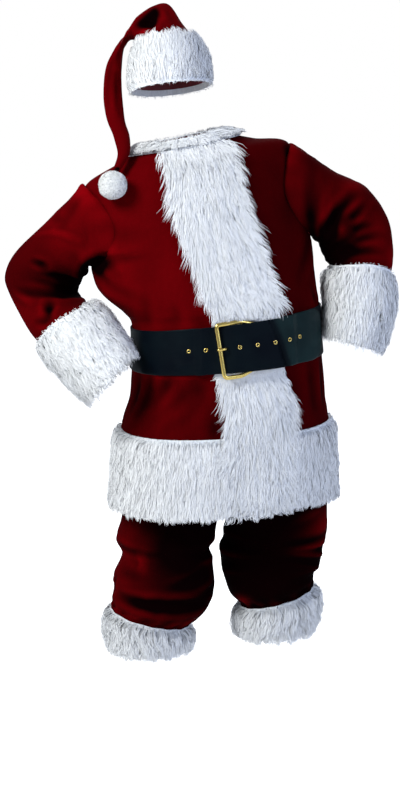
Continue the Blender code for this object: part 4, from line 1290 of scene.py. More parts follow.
class Patch:
    """A stretch of fur: a grid over it to read points, normals and directions from.

    place(u, v) gives theta and s, with v from 0 at the edge that the pile is combed from to 1 at
    the edge that it is combed to.
    """

    def __init__(self, cloth, place, cols=72, rows=44):
        u, v = np.meshgrid(np.linspace(0, 1, cols), np.linspace(0, 1, rows))
        self.theta, self.s = place(u, v)
        self.points = cloth.at(self.theta, self.s, np.full(u.shape, LAY))
        self.out = cloth.outward(self.theta, self.s)
        self.down = unit(np.gradient(self.points, axis=0))
        side, run = np.cross(self.down, self.out), np.gradient(self.points, axis=1)
        self.across_sign = 1 if (side * run).sum() > 0 else -1
        self.cells = cells(self.points)
        self.area = self.cells.sum()
        self.length = lengths(self.points)[1].mean()

    def read(self, grid, u, v):
        """A grid's values at these places, even between its points."""
        rows, cols = grid.shape[:2]
        x, y = u * (cols - 1), v * (rows - 1)
        i, j = np.clip(y.astype(int), 0, rows - 2), np.clip(x.astype(int), 0, cols - 2)
        fx, fy = x - j, y - i
        if grid.ndim == 3:
            fx, fy = fx[:, None], fy[:, None]
        low = grid[i, j] * (1 - fx) + grid[i, j + 1] * fx
        high = grid[i + 1, j] * (1 - fx) + grid[i + 1, j + 1] * fx
        return low * (1 - fy) + high * fy

    def scatter(self, count, draw):
        """u and v of evenly scattered places."""
        share = self.cells.ravel() / self.area
        cell = np.searchsorted(np.cumsum(share), (np.arange(count) + draw.uniform(0, 1, count)) / count)
        i, j = np.divmod(np.minimum(cell, len(share) - 1), self.cells.shape[1])
        u = (j + draw.uniform(0, 1, count)) / self.cells.shape[1]
        v = (i + draw.uniform(0, 1, count)) / self.cells.shape[0]
        return u, v


def ribbons(name, centres, sides, widths, tones, material, normals=None):
    """Tapered strands, each from a row of centres, with a side vector, a width and a normal at each."""
    count, steps = centres.shape[:2]
    half = sides * widths[..., None] / 2
    pairs = np.stack([centres[:, :-1] - half[:, :-1], centres[:, :-1] + half[:, :-1]], axis=2)
    points = np.concatenate([pairs.reshape(count, -1, 3), centres[:, -1:]], axis=1)
    each = points.shape[1]
    start = np.arange(count)[:, None] * each
    quads = [start + np.array([2 * k, 2 * k + 1, 2 * k + 3, 2 * k + 2]) for k in range(steps - 2)]
    tips = start + np.array([each - 3, each - 2, each - 1])
    loops = np.concatenate([*quads, tips], axis=1).ravel()
    sizes = np.tile([4] * (steps - 2) + [3], count)
    data = bpy.data.meshes.new(name)
    data.vertices.add(count * each)
    data.vertices.foreach_set("co", points.astype(np.float32).ravel())
    data.loops.add(len(loops))
    data.loops.foreach_set("vertex_index", loops.astype(np.int32))
    data.polygons.add(len(sizes))
    data.polygons.foreach_set("loop_start", np.concatenate([[0], np.cumsum(sizes)[:-1]]).astype(np.int32))
    data.polygons.foreach_set("loop_total", sizes.astype(np.int32))
    data.update()
    level = np.linspace(0, 1, steps)
    pile = np.tile(np.concatenate([np.repeat(level[:-1], 2), level[-1:]]), count)
    for key, values in (("pile", pile), ("tone", np.repeat(tones, each))):
        data.attributes.new(key, "FLOAT", "POINT").data.foreach_set("value", values.astype(np.float32))
    data.materials.append(Materials.get(material))
    data.shade_smooth()
    if normals is not None:
        each_normal = np.concatenate([np.repeat(normals[:, :-1], 2, axis=1), normals[:, -1:]], axis=1)
        data.normals_split_custom_set_from_vertices(each_normal.reshape(-1, 3).astype(np.float32))
    thing = bpy.data.objects.new(name, data)
    bpy.context.scene.collection.objects.link(thing)
    return thing


def draw_locks(patch, draw, lock, wander, seed):
    """The places at which strands are drawn together, and what the strands of each lock share."""
    count = max(8, int(patch.area / lock**2))
    root = patch.read(patch.points, *patch.scatter(count, draw))
    return {
        "root": root,
        "turn": wander * (0.7 * uneven(root, 0.07, seed + 3) + 0.5 * draw.normal(size=count)),
        "long": np.clip(1 + 0.16 * draw.normal(size=count), 0.6, 1.35),
        "reach": draw.uniform(0.25, 1.7, count),
        "rise": np.clip(0.95 + 0.09 * draw.normal(size=count), 0.75, 1.1),
        "tone": draw.uniform(0, 1, count),
        "phase": draw.uniform(0, 2 * math.pi, count),
    }


def nearest(places, points):
    """For each point, which of the places is nearest."""
    tree = kdtree.KDTree(len(places))
    for number, place in enumerate(places):
        tree.insert(place, number)
    tree.balance()
    return np.array([tree.find(point)[1] for point in points])


def rolled(centres, out, draw):
    """Strands' side vectors, each strand rolled on its own length, and their normals."""
    tangent = unit(np.gradient(centres, axis=1))
    side = unit(np.cross(tangent, out[:, None]))
    over = np.cross(side, tangent)
    roll = np.radians(np.clip(STRAND_ROLL * draw.normal(size=(len(out), 1, 1)), -60, 60))
    side = side * np.cos(roll) + over * np.sin(roll)
    return side, unit(PILE_SMOOTHNESS * out[:, None] + (1 - PILE_SMOOTHNESS) * np.cross(side, tangent))


def comb(
    patch, seed, long=0.048, height=0.022, lock=0.010, clump=0.62, stand=52.0, edge_stand=38.0, fan=0.0,
    stray=5.4, wander=8.0, curl=0.0028, density=1.0, press=None, overhang=0.013, edge_over=0.003,
    puff=0.0, room=None,
):
    """Strands of fur over a patch, combed from v = 0 to v = 1 and drawn together into locks.

    long and height are a strand's length and how high its tip lies, lock is the distance between
    locks and clump how far strands are drawn into them, stand the angle at which strands leave
    the backing and edge_stand how much steeper they leave it at the first edge.  fan is the angle
    that the patch's two sides are combed outwards, stray and wander are how far strands and locks
    turn aside, and curl is how far a strand sways.  density is a share of the fur's own, overhang
    how far tips pass the last edge and edge_over how far they pass the first one, and puff is how
    much higher strands stand halfway between the two.  press(s) is the share of the height that
    is left where something lies on the fur, and room(theta, s) how far strands can reach ahead.
    """
    fur = bpy.context.scene.suit_fur
    draw = np.random.default_rng(seed)
    count = int(patch.area * fur.density * 100 * density)
    u, v = patch.scatter(count, draw)
    root, out, down = (patch.read(grid, u, v) for grid in (patch.points, patch.out, patch.down))
    s, from_edge = patch.read(patch.s, u, v), v * patch.length
    locks = draw_locks(patch, draw, lock, wander, seed)
    own = nearest(locks["root"], root)
    mine = {key: values[own] for key, values in locks.items()}

    # Which way each strand lies.
    fanned = fan * np.abs(2 * u - 1) ** 3 * np.sign(2 * u - 1)
    turn = np.radians(mine["turn"] + stray * draw.normal(size=count) + fanned)
    back = from_edge < EDGE_ROLL * draw.uniform(0.3, 1.0, count)
    turn = np.where(back, turn + math.pi * (1 + 0.35 * draw.normal(size=count)), turn)
    across = np.cross(down, out) * patch.across_sign
    ahead = unit(down * np.cos(turn)[:, None] + across * np.sin(turn)[:, None])

    # How long it is and how high it stands, so that it ends before what is in its way.
    strand = long * mine["long"] * draw.uniform(0.72, 1.12, count)
    top = height * mine["rise"] * draw.uniform(0.80, 1.0, count) * np.where(back, EDGE_HEIGHT, 1)
    top = top * (1 + puff * np.sin(math.pi * v))
    if press is not None:
        pressed = press(s)
        top = top * pressed
        strand = strand * (0.35 + 0.65 * pressed)
    left = patch.length - from_edge + overhang * mine["reach"] * draw.uniform(0.5, 1.1, count)
    if room is not None:
        left = np.minimum(left, room(patch.read(patch.theta, u, v), s))
    left = np.where(back, from_edge + edge_over * draw.uniform(0.3, 1.0, count), left)
    left = left / np.maximum(np.abs(np.cos(turn)), 0.35)
    strand = left * (1 - np.exp(-((strand / left) ** 3))) ** (1 / 3)

    # Its course, from the root at t = 0 to the tip at t = 1.
    t = np.linspace(0, 1, STRAND_STEPS)[None, :]
    stands = stand + edge_stand * np.exp(-from_edge / EDGE_REACH) + 10 * draw.normal(size=count)
    start = np.radians(np.clip(stands, *STAND_LIMITS))[:, None]
    forward = strand[:, None] * (t * np.cos(start) * (1 - t) + t**1.25 * 0.93 * np.minimum(1, 0.35 + t))
    arch = np.sin(0.5 * math.pi * np.minimum(1, t * 1.55)) ** 0.9 * (1 - 0.30 * step((t - 0.55) / 0.45))
    sway = curl * np.sin(mine["phase"][:, None] + 4.2 * t) * t
    gather = mine["root"] - root
    gather = gather - (gather * out).sum(-1, keepdims=True) * out
    gather = gather - 0.7 * (gather * ahead).sum(-1, keepdims=True) * ahead
    rise = top[:, None] * arch
    centres = root[:, None] + ahead[:, None] * forward[..., None] + out[:, None] * rise[..., None]
    centres = centres + np.cross(ahead, out)[:, None] * sway[..., None]
    centres = centres + clump * t[..., None] ** 1.8 * gather[:, None, :]
    side, normals = rolled(centres, out, draw)
    widths = fur.strand_width * draw.uniform(0.7, 1.25, (count, 1)) * np.array([STRAND_TAPER])
    return centres, side, widths, 0.6 * mine["tone"] + 0.4 * draw.uniform(0, 1, count), normals


def fur_piece(name, cloth, place, seed, closed=False, **combing):
    """A band of fur: its thin backing, which is the cut piece, and the strands on it."""
    patch = Patch(cloth, place)
    centres, side, widths, tones, normals = comb(patch, seed, **combing)
    strands = ribbons(f"{name}_pile", centres, side, widths, tones, "fur_pile", normals)
    outer, inner = patch.points + patch.out * BACKING, patch.points
    if closed:
        outer, inner = outer[:, :-1], inner[:, :-1]
    backing = wall(f"{name}_backing", outer, inner, [Materials.get("fur_backing")], closed)
    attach(strands, "root")
    declare(backing, name)


# ---------------------------------------------------------------- operators for the cloth

class SUIT_OT_jacket(bpy.types.Operator):
    """Sews the jacket's front and back panels"""

    bl_idname = "suit.jacket"
    bl_label = "Jacket"
    bl_options = {"REGISTER", "UNDO"}

    def execute(self, context):
        finest = context.scene.suit_cloth.mesh_step
        torso_panel("jacket_front_left", 0, 90, finest)
        torso_panel("jacket_front_right", 90, 180, finest)
        torso_panel("jacket_back", 180, 360, finest)
        return {"FINISHED"}


class SUIT_OT_sleeves(bpy.types.Operator):
    """Sews both sleeves, eased into the armholes"""

    bl_idname = "suit.sleeves"
    bl_label = "Sleeves"
    bl_options = {"REGISTER", "UNDO"}

    def execute(self, context):
        head = 0.6
        s = np.concatenate([
            np.linspace(0, head, 15)[:-1],
            np.linspace(head, CUFF_TOP, 68),
            np.linspace(CUFF_TOP, WRIST, 18)[1:],
        ])
        for name in ("sleeve_right", "sleeve_left"):
            cloth_tube(name, Forms.get(name), s, 90)
        return {"FINISHED"}


WAISTBAND = 0.3        # sections from the waistband's top to its lower edge
TROUSER_GAP = 0.12     # degrees from a trouser panel's edge to its seam


def waistband():
    """The strip round the trousers' top, over both of its halves."""
    theta, s = np.meshgrid(np.arange(-180, 180, 4.0), np.linspace(0.0, WAISTBAND, 7))
    left = Forms.get("leg_left").at(theta, s, LAY + 0 * s)
    right = Forms.get("leg_right").at(-theta, s, LAY + 0 * s)
    inner = np.concatenate([left, right], axis=1)
    away = unit((inner - inner.mean(axis=1, keepdims=True)) * (1, 1, 0))
    materials = [Materials.get("velvet"), Materials.get("lining")]
    strip = wall("waistband_velvet", inner + away * CLOTH, inner, materials, closed=True)
    declare(strip, "waistband")


class SUIT_OT_trousers(bpy.types.Operator):
    """Sews the trousers' four panels and the waistband"""

    bl_idname = "suit.trousers"
    bl_label = "Trousers"
    bl_options = {"REGISTER", "UNDO"}

    def execute(self, context):
        s = np.concatenate([np.linspace(0, LEG_START, 26)[:-1], np.linspace(LEG_START, LEG_CUFF, 78)])
        for side in ("right", "left"):
            for part, first, last in (("front", 0, 180), ("back", -180, 0)):
                name = f"trouser_{part}_{side}"
                theta = first + TROUSER_GAP + (last - first - 2 * TROUSER_GAP) * seam_shares(42)
                outer, inner, fold = panel_grid(Forms.get(f"leg_{side}"), *np.meshgrid(theta, s))
                thing = wall(f"{name}_velvet", outer, inner, [Materials.get("velvet")], fold=fold)
                declare(thing, name)
        waistband()
        return {"FINISHED"}


class SUIT_OT_cap(bpy.types.Operator):
    """Sews the cap's crown, folded over and hanging to its tip"""

    bl_idname = "suit.cap"
    bl_label = "Cap"
    bl_options = {"REGISTER", "UNDO"}

    def execute(self, context):
        crown, drop = 2.5, 7
        s = np.concatenate([
            np.linspace(0, crown, 22)[:-1],
            np.linspace(crown, drop, 62)[:-1],
            np.linspace(drop, HAT_TIP, 46),
        ])
        cloth_tube("hat_crown", Forms.get("hat"), s, 72)
        return {"FINISHED"}


# ---------------------------------------------------------------- operators for the fur

FRONT_TOP = NECK - COLLAR - 0.05   # s of the upper end of the fur down the front
FRONT_END = -0.02      # s of its lower end
FRONT_NARROWS = 0.022  # how much narrower it gets over the belt, on the wearer's left
HEM_GAP = 0.001        # between the backings of the front's fur and the hem's
HEM_END = -0.01        # s of the hem fur's lower edge
HEM_LIFT = 0.05        # sections by which that edge rises on the wearer's left
SIDE_GAP = 0.12        # degrees from a side seam to the hem fur's ends
CUFF_OVER = 0.12       # sections by which the fur passes the sleeve's end
LEG_OVER = 0.05        # sections by which the fur passes the trouser leg's end
BRIM_UNDER = 0.28      # sections by which the cap's fur reaches under the brim


def press_under_belt(s):
    """The share of the pile's height that the belt leaves."""
    under = step((s - BELT_BOTTOM + 0.42) / 0.34) * step((BELT_TOP + 0.50 - s) / 0.34)
    return 1 - 0.80 * under


def room_over_belt(theta, s):
    """How far a strand that grows above the belt can reach before it meets the strap or the buckle."""
    buckle = step((theta - BUCKLE_PIVOT + 4) / 6) * step((BUCKLE_BAR + 8 - theta) / 6)
    room = np.maximum(0.006 + 0.040 * (s - BELT_TOP) - 0.013 * buckle, 0.002)
    return np.where(s > BELT_TOP, room, 1.0)


def front_place(u, v):
    """theta and s of the fur down the front, from its upper end to its lower one."""
    s = FRONT_TOP + (FRONT_END - FRONT_TOP) * v
    narrower = FRONT_NARROWS * bump((s - BELT_TOP - 0.45) / 0.45) * (u < 0.5)
    half = FUR_BAND - FUR_INSET - narrower
    return band(Forms.get("torso"), s[:, 0], half * (1 - 2 * u)), s


def hem_place(first_end, last_end):
    """The same for a stretch of the hem's fur; an end is a theta, or how far from the front's middle."""

    def edge(end, s):
        kind, where = end
        if kind == "theta":
            return np.full((len(s), 1), where)
        return band(Forms.get("torso"), s[:, 0], [where])

    def place(u, v):
        s = HEM_FUR_TOP + (HEM_END - HEM_FUR_TOP) * v
        first, last = edge(first_end, s), edge(last_end, s)
        theta = first + (last - first) * u
        return theta, s + HEM_LIFT * bump((theta - 60) / 25) * v

    return place


def collar_place(u, v):
    """The same for the collar, round the neck from one side of the parting to the other."""
    s = NECK - COLLAR * v
    half = np.full((len(s), 1), COLLAR_PART / 2)
    start = round_front(Forms.get("torso"), s[:, 0], -half)
    end = round_front(Forms.get("torso"), s[:, 0], half) + 360
    return start + (end - start) * u, s


def ring_place(starts, last):
    """The same for a ring of fur, from an upper edge given as (theta, s) down to a section."""
    theta, first = np.array(starts, float).T

    def place(u, v):
        start = np.interp(360 * u, theta, first)
        return 360 * u, start + (last - start) * v

    return place


class SUIT_OT_jacket_fur(bpy.types.Operator):
    """Lays the fur down the front, round the hem and round the neck"""

    bl_idname = "suit.jacket_fur"
    bl_label = "Jacket fur"
    bl_options = {"REGISTER", "UNDO"}

    def execute(self, context):
        torso = Forms.get("torso")
        fur_piece(
            "front_fur", torso, front_place, 101, fan=30.0, press=press_under_belt, room=room_over_belt,
            stand=56.0, edge_stand=10.0, long=0.054, clump=0.56,
        )
        clear = FUR_BAND - FUR_INSET + HEM_GAP
        hems = (
            ("hem_fur_left", ("theta", SIDE_GAP), ("front", clear), 111),
            ("hem_fur_right", ("front", -clear), ("theta", 180 - SIDE_GAP), 121),
            ("hem_fur_back", ("theta", 180 + SIDE_GAP), ("theta", 360 - SIDE_GAP), 131),
        )
        for name, first, last, seed in hems:
            fur_piece(name, torso, hem_place(first, last), seed, lock=0.009, clump=0.50, wander=6.0)
        fur_piece(
            "collar_fur", torso, collar_place, 141, long=0.034, height=0.017, lock=0.009,
            clump=0.42, density=1.35,
        )
        return {"FINISHED"}


class SUIT_OT_cuffs(bpy.types.Operator):
    """Lays the fur round the sleeves' and the trousers' ends"""

    bl_idname = "suit.cuffs"
    bl_label = "Cuffs"
    bl_options = {"REGISTER", "UNDO"}

    def execute(self, context):
        ring = {"overhang": 0.016, "puff": 0.35}
        cuff = {**ring, "long": 0.050, "height": 0.022, "lock": 0.008, "stand": 56.0}
        leg = {
            **ring, "long": 0.042, "height": 0.030, "lock": 0.009, "stand": 86.0, "edge_stand": 2.0,
            "wander": 26.0, "stray": 10.8, "clump": 0.60, "edge_over": 0.0005,
        }
        leg_edge, wrist, ankle = [(0, LEG_FUR_TOP)], WRIST + CUFF_OVER, LEG_CUFF + LEG_OVER
        rings = (
            # node             form            upper edge            lower  seed  combing
            ("cuff_fur_right", "sleeve_right", CUFF_STARTS["right"], wrist, 201, {**cuff, "clump": 0.22}),
            ("cuff_fur_left",  "sleeve_left",  CUFF_STARTS["left"],  wrist, 211, {**cuff, "clump": 0.18}),
            ("leg_fur_right",  "leg_right",    leg_edge,             ankle, 221, leg),
            ("leg_fur_left",   "leg_left",     leg_edge,             ankle, 231, leg),
        )
        for name, form, starts, last, seed, combing in rings:
            fur_piece(name, Forms.get(form), ring_place(starts, last), seed, closed=True, **combing)
        return {"FINISHED"}


class SUIT_OT_cap_fur(bpy.types.Operator):
    """Lays the fur band round the cap, brushed upwards"""

    bl_idname = "suit.cap_fur"
    bl_label = "Cap fur"
    bl_options = {"REGISTER", "UNDO"}

    def execute(self, context):
        fur_piece(
            "hat_fur", Forms.get("hat"), ring_place([(0, -BRIM_UNDER)], HAT_BAND_TOP), 301, closed=True,
            long=0.034, height=0.018, lock=0.008, clump=0.36, stand=66.0, edge_stand=24.0, wander=16.0,
            overhang=0.018, edge_over=0.008,
        )
        return {"FINISHED"}


POMPOM_STRANDS = 9000
POMPOM_STRAND = 0.0020  # width of a strand at its root
POMPOM_CORE = POMPOM_RADIUS * 0.84
GOLDEN_TURN = math.pi * (3 - math.sqrt(5))


def pompom_pile(centre):
    """Short strands, spread evenly over the core and lying over each other."""
    draw = np.random.default_rng(401)
    turn = np.arange(POMPOM_STRANDS) * GOLDEN_TURN
    level = 1 - 2 * (np.arange(POMPOM_STRANDS) + 0.5) / POMPOM_STRANDS
    level_radius = np.sqrt(1 - level**2)
    out = np.stack([np.cos(turn) * level_radius, np.sin(turn) * level_radius, level], axis=-1)
    lean = unit(out + 0.30 * draw.normal(size=out.shape) - (0, 0, 0.25))
    reach = POMPOM_RADIUS * (1 + 0.03 * uneven(out, 0.8, 402)) * draw.uniform(0.96, 1.02, POMPOM_STRANDS)
    t = np.linspace(0, 1, STRAND_STEPS)[None, :, None]
    spread = out[:, None] * (1 - 0.5 * t**2) + lean[:, None] * 0.5 * t**2
    from_core = (reach - POMPOM_CORE)[:, None, None] * np.sin(0.5 * math.pi * t)
    centres = centre + unit(spread) * (POMPOM_CORE + from_core)
    side = unit(np.cross(out, draw.normal(size=out.shape)))[:, None] + 0 * centres
    widths = POMPOM_STRAND * draw.uniform(0.8, 1.3, (POMPOM_STRANDS, 1)) * np.array([POMPOM_TAPER])
    tones = draw.uniform(0, 1, POMPOM_STRANDS)
    return ribbons("pompom_pile", centres, side, widths, tones, "pompom_pile")


def pompom_core(centre):
    """The soft ball that the strands stand on."""
    rows, cols, pole = 24, 36, 0.02
    polar = np.linspace(pole, math.pi - pole, rows)
    turn = np.linspace(0, 2 * math.pi, cols, endpoint=False)
    polar, turn = np.meshgrid(polar, turn, indexing="ij")
    ball = np.stack([np.cos(turn) * np.sin(polar), np.sin(turn) * np.sin(polar), np.cos(polar)], axis=-1)
    radius = POMPOM_CORE * 1.03 * (1 + 0.01 * uneven(ball, 0.5, 403))
    points = (centre + ball * radius[..., None]).reshape(-1, 3)
    caps = [list(range(cols))[::-1], list(range((rows - 1) * cols, rows * cols))]
    faces = [face[::-1] for face in grid_faces(rows, cols, True).tolist() + caps]
    return mesh_object("pompom_core", points, faces, [Materials.get("pompom_pile")], smooth_below=0)


class SUIT_OT_pompom(bpy.types.Operator):
    """Makes the pompom from short strands on a soft core"""

    bl_idname = "suit.pompom"
    bl_label = "Pompom"
    bl_options = {"REGISTER", "UNDO"}

    def execute(self, context):
        theta, s = (np.array([value]) for value in POMPOM_REST)
        centre = Forms.get("torso").at(theta, s, np.array([POMPOM_RADIUS * 1.05 + LAY]))[0]
        strands = pompom_pile(centre)
        core = pompom_core(centre)
        for thing in (core, strands):
            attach(thing, "root")
        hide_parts("pompom")
        return {"FINISHED"}


# ---------------------------------------------------------------- operators for the belt

BELT_MIDDLE = (BELT_BOTTOM + BELT_TOP) / 2
TURN_BACK = -236.0     # turn at which the strap has gone round to the front again
STRAP_NOSE = 14.0      # degrees over which its free end is rounded
NOSE_TAPER = 0.30      # the share of its width that each side loses at the tip
STRAP_EDGE = (         # the strap's rounded edge
    # share of width, share of thickness
    (0.0,   0.25),
    (0.006, 0.62),
    (0.018, 0.90),
    (0.04,  1.0),
)
WAVER = 0.0005         # how far from level the leather lies
EYELET_RADIUS = 0.0038
EYELET_WIRE = 0.0012
PRONG_RADIUS = 0.0030


def strap_height(torso, theta, over):
    """How far the strap's underside lies over the cloth: clear of the front fur pressed under it."""
    right, left = band(torso, np.array([BELT_MIDDLE]), [-FUR_BAND, FUR_BAND])[0]
    past = np.maximum(off(theta, 0) - right, left - off(theta, 0))
    fur = 1 - step((past - 3.0) / 6.0)
    return LAY + (FLAT_PILE + LAY) * fur + over


def strap_lap(turn, strap, bar):
    """How far the strap is lifted where it lies over the buckle's pivot bar and over itself."""
    over_bar, over_strap = 2 * bar + 4 * LAY, strap + LAY
    rise = step((BUCKLE_BAR - 360 + 5 - turn) / 14.0)
    settle = step((BUCKLE_PIVOT - 360 - 7 - turn) / 14.0)
    return rise * over_bar + settle * (over_strap - over_bar)


def strap_kink(turn, s):
    """The kink across the strap near its free end."""
    table = np.array(STRAP_CREASE)
    theta, width, depth = (np.interp(s, table[:, 0], table[:, k]) for k in (1, 2, 3))
    away = (turn + 360 - theta) / width
    return depth * (bump(away) - 0.35 * bump((np.abs(away) - 2.2) / 0.9))


def rod(name, path, radius, flatness, out, material, around=14, closed=False):
    """A round or flattened bar along a path."""
    path = np.asarray(path)
    ahead = np.roll(path, -1, axis=0) - np.roll(path, 1, axis=0) if closed else np.gradient(path, axis=0)
    ahead = unit(ahead)
    wide = unit(np.cross(ahead, out))
    thick = np.cross(wide, ahead)
    turn = np.linspace(0, 2 * math.pi, around, endpoint=False)[None, :, None]
    ring = radius * (wide[:, None] * np.cos(turn) + thick[:, None] * np.sin(turn) * flatness)
    points = (path[:, None] + ring).reshape(-1, 3)
    faces = grid_faces(len(path), around, True).tolist()
    last = (len(path) - 1) * around
    if closed:
        joint = [[last + j, last + (j + 1) % around, (j + 1) % around, j] for j in range(around)]
        faces += joint
    else:
        faces += [list(range(around))[::-1], list(range(last, last + around))]
    f = faces[0]
    normal = np.cross(points[f[1]] - points[f[0]], points[f[3]] - points[f[0]])
    if normal @ (points[f[0]] - path[0]) < 0:
        faces = [face[::-1] for face in faces]
    return mesh_object(name, points, faces, [Materials.get(material)], smooth_below=0)


def round_corners(points, radius, steps=7):
    """A closed path whose corners are arcs, with as many points on each side between them."""
    path = []
    for i, corner in enumerate(points):
        before, after = points[i - 1], points[(i + 1) % len(points)]
        a = corner + radius * unit(before - corner)
        b = corner + radius * unit(after - corner)
        for t in np.linspace(0, 1, steps + 1):
            path.append((1 - t) ** 2 * a + 2 * t * (1 - t) * corner + t**2 * b)
        for t in np.linspace(0, 1, steps + 1)[1:-1]:
            path.append(b + (after + radius * unit(corner - after) - b) * t)
    return np.array(path)


class SUIT_OT_belt(bpy.types.Operator):
    """Makes the strap, once round the waist, through the buckle and over itself"""

    bl_idname = "suit.belt"
    bl_label = "Belt strap"
    bl_options = {"REGISTER", "UNDO"}

    def execute(self, context):
        torso, belt = Forms.get("torso"), context.scene.suit_belt
        start, tip = BUCKLE_PIVOT - BUCKLE_SKEW - 3.0, STRAP_TIP - 360
        turn = np.concatenate([
            np.linspace(start, TURN_BACK, 150)[:-1],
            np.linspace(TURN_BACK, tip + STRAP_NOSE, 120)[:-1],
            tip + STRAP_NOSE * (1 - np.sin(np.linspace(0, 0.5 * math.pi, 26))),
        ])
        nose = np.clip((turn - tip) / STRAP_NOSE, 0, 1)
        taper = NOSE_TAPER * (1 - np.sqrt(1 - (1 - nose) ** 2))
        edge, thick = np.array(STRAP_EDGE).T
        share = np.concatenate([edge, np.linspace(0.08, 0.92, 15), 1 - edge[::-1]])[:, None]
        rim = np.concatenate([thick, np.ones(15), thick[::-1]])[:, None]
        s = BELT_BOTTOM + (BELT_TOP - BELT_BOTTOM) * (taper + (1 - 2 * taper) * share)
        theta = turn[None, :] + 0 * share
        height = strap_height(torso, theta, strap_lap(theta, belt.strap, belt.bar))
        height = height - strap_kink(theta, s) * (theta < TURN_BACK - 4)
        middle = height + belt.strap / 2
        level = WAVER * np.sin(np.radians(theta) * 9 + 1) * np.sin(math.pi * share)
        cloth = jacket_with_folds()
        outer = cloth.at(theta, s, middle + belt.strap / 2 * rim + level)
        inner = cloth.at(theta, s, middle - belt.strap / 2 * rim + level)
        # Past the crease the strap takes the painted reflection.
        crease = np.interp(s, *np.array(STRAP_CREASE)[:, :2].T) - 360
        past = step((crease - 1.0 - theta) / 4.0)
        strap = wall("belt_strap_leather", outer, inner, [Materials.get("leather")], fold=past)
        declare_hard(strap, "belt_strap")
        return {"FINISHED"}


def buckle_frame(torso, cloth, bar, over):
    """The wire frame: its outer bar over the strap, its pivot bar under the strap's free end."""
    low, high = BELT_BOTTOM - BUCKLE_STANDS, BELT_TOP + BUCKLE_STANDS
    over = over + bar
    neck = over + (bar - over) * (BUCKLE_BAR - BUCKLE_NECK) / (BUCKLE_BAR - BUCKLE_PIVOT)
    corners = (
        (BUCKLE_BAR - BUCKLE_SKEW, low, over),
        (BUCKLE_BAR + BUCKLE_SKEW, high, over),
        (BUCKLE_NECK, high - 0.01, neck),
        (BUCKLE_PIVOT, high - BUCKLE_TAPER, bar),
        (BUCKLE_PIVOT, low + BUCKLE_TAPER, bar),
        (BUCKLE_NECK, low + 0.01, neck),
    )
    theta, s, height = (np.array(column, float) for column in zip(*corners))
    points = cloth.at(theta, s, strap_height(torso, theta, height))
    out = cloth.outward(theta, s).mean(axis=0)
    path = round_corners(points, 0.009)
    return rod("buckle_frame_brass", path, bar * 1.12, 0.72, out, "brass", closed=True), out


def buckle_prong(torso, cloth, bar, over, out):
    """The prong, from the eyelet over the frame's outer bar."""
    prong = (
        (BUCKLE_BAR - 3.4, 0.0),
        (BUCKLE_BAR - 2.2, bar * 1.6),
        (BUCKLE_BAR - 1.0, bar * 2.2),
        (BUCKLE_BAR, 2 * bar + 0.0012),
        (BUCKLE_BAR + 1.2, bar * 2.1),
        (BUCKLE_BAR + 1.8, bar * 1.8),
    )
    theta, height = (np.array(column, float) for column in zip(*prong))
    clear = over + LAY + 0.003 + height
    path = cloth.at(theta, np.full(theta.shape, BELT_MIDDLE), strap_height(torso, theta, clear))
    return rod("buckle_prong_brass", path, PRONG_RADIUS, 0.85, out, "brass")


def eyelet(number, torso, cloth, theta, strap, bar):
    """A wire ring on the strap, round one of its holes."""
    spot, middle = np.array([theta]), np.array([BELT_MIDDLE])
    height = strap_height(torso, spot, strap_lap(theta - 360, strap, bar)) + strap + 0.0008
    centre = cloth.at(spot, middle, height)[0]
    out = cloth.outward(spot, middle)[0]
    right = unit(cloth.at(spot - 1, middle, height)[0] - centre)
    turn = np.linspace(0, 2 * math.pi, 28, endpoint=False)[:, None]
    ring = centre + EYELET_RADIUS * (np.cos(turn) * right + np.sin(turn) * np.cross(out, right))
    return rod(f"eyelet_{number}_brass", ring, EYELET_WIRE, 0.80, out, "brass", around=10, closed=True)


class SUIT_OT_buckle(bpy.types.Operator):
    """Makes the buckle's frame and prong and the strap's eyelets"""

    bl_idname = "suit.buckle"
    bl_label = "Buckle and eyelets"
    bl_options = {"REGISTER", "UNDO"}

    def execute(self, context):
        torso, cloth = Forms.get("torso"), jacket_with_folds()
        bar, strap = context.scene.suit_belt.bar, context.scene.suit_belt.strap
        over = strap_lap(BUCKLE_BAR - 360, strap, bar) + strap + 2 * LAY
        things = {}
        things["buckle_frame"], out = buckle_frame(torso, cloth, bar, over)
        things["buckle_prong"] = buckle_prong(torso, cloth, bar, over, out)
        for number, theta in enumerate(EYELETS, 1):
            things[f"eyelet_{number}"] = eyelet(number, torso, cloth, theta, strap, bar)
        for node, thing in things.items():
            declare_hard(thing, node)
        return {"FINISHED"}


# ---------------------------------------------------------------- stage

FLOOR_HALF = 14.0      # half the floor's side
LIGHTS = (
    # name    place                size  share  colour
    ("key",  (-2.3, -2.3, 1.9),    1.3,  1.00,  (0.97, 1.0, 0.99)),
    ("fill", (3.0, -2.6, 0.8),     2.2,  0.40,  (0.56, 0.68, 1.0)),
    ("back", (1.0, 3.6, 2.2),      2.6,  0.60,  (0.95, 0.97, 1.0)),
)
LIT_AT = (0.02, 0.0, -0.45)        # where the lights point
ROOM_LIGHT = (0.80, 0.88, 1.0)     # colour of the light from all round
ROOM_STRENGTH = 0.34
EYE = (0.0332, -3.5, 0.0584)       # the camera's place
EYE_ANGLE = 30.70      # degrees that it sees from top to bottom
EYE_TILT = 79.5        # degrees from straight down to where it looks


def add_floor(stage):
    corners = [(-1, -1, 0), (1, -1, 0), (1, 1, 0), (-1, 1, 0)]
    points = np.array(corners, float) * FLOOR_HALF + (0, 0, stage.floor_height)
    floor = mesh_object("floor", points, [[0, 1, 2, 3]], [Materials.get("floor")], smooth_below=0)


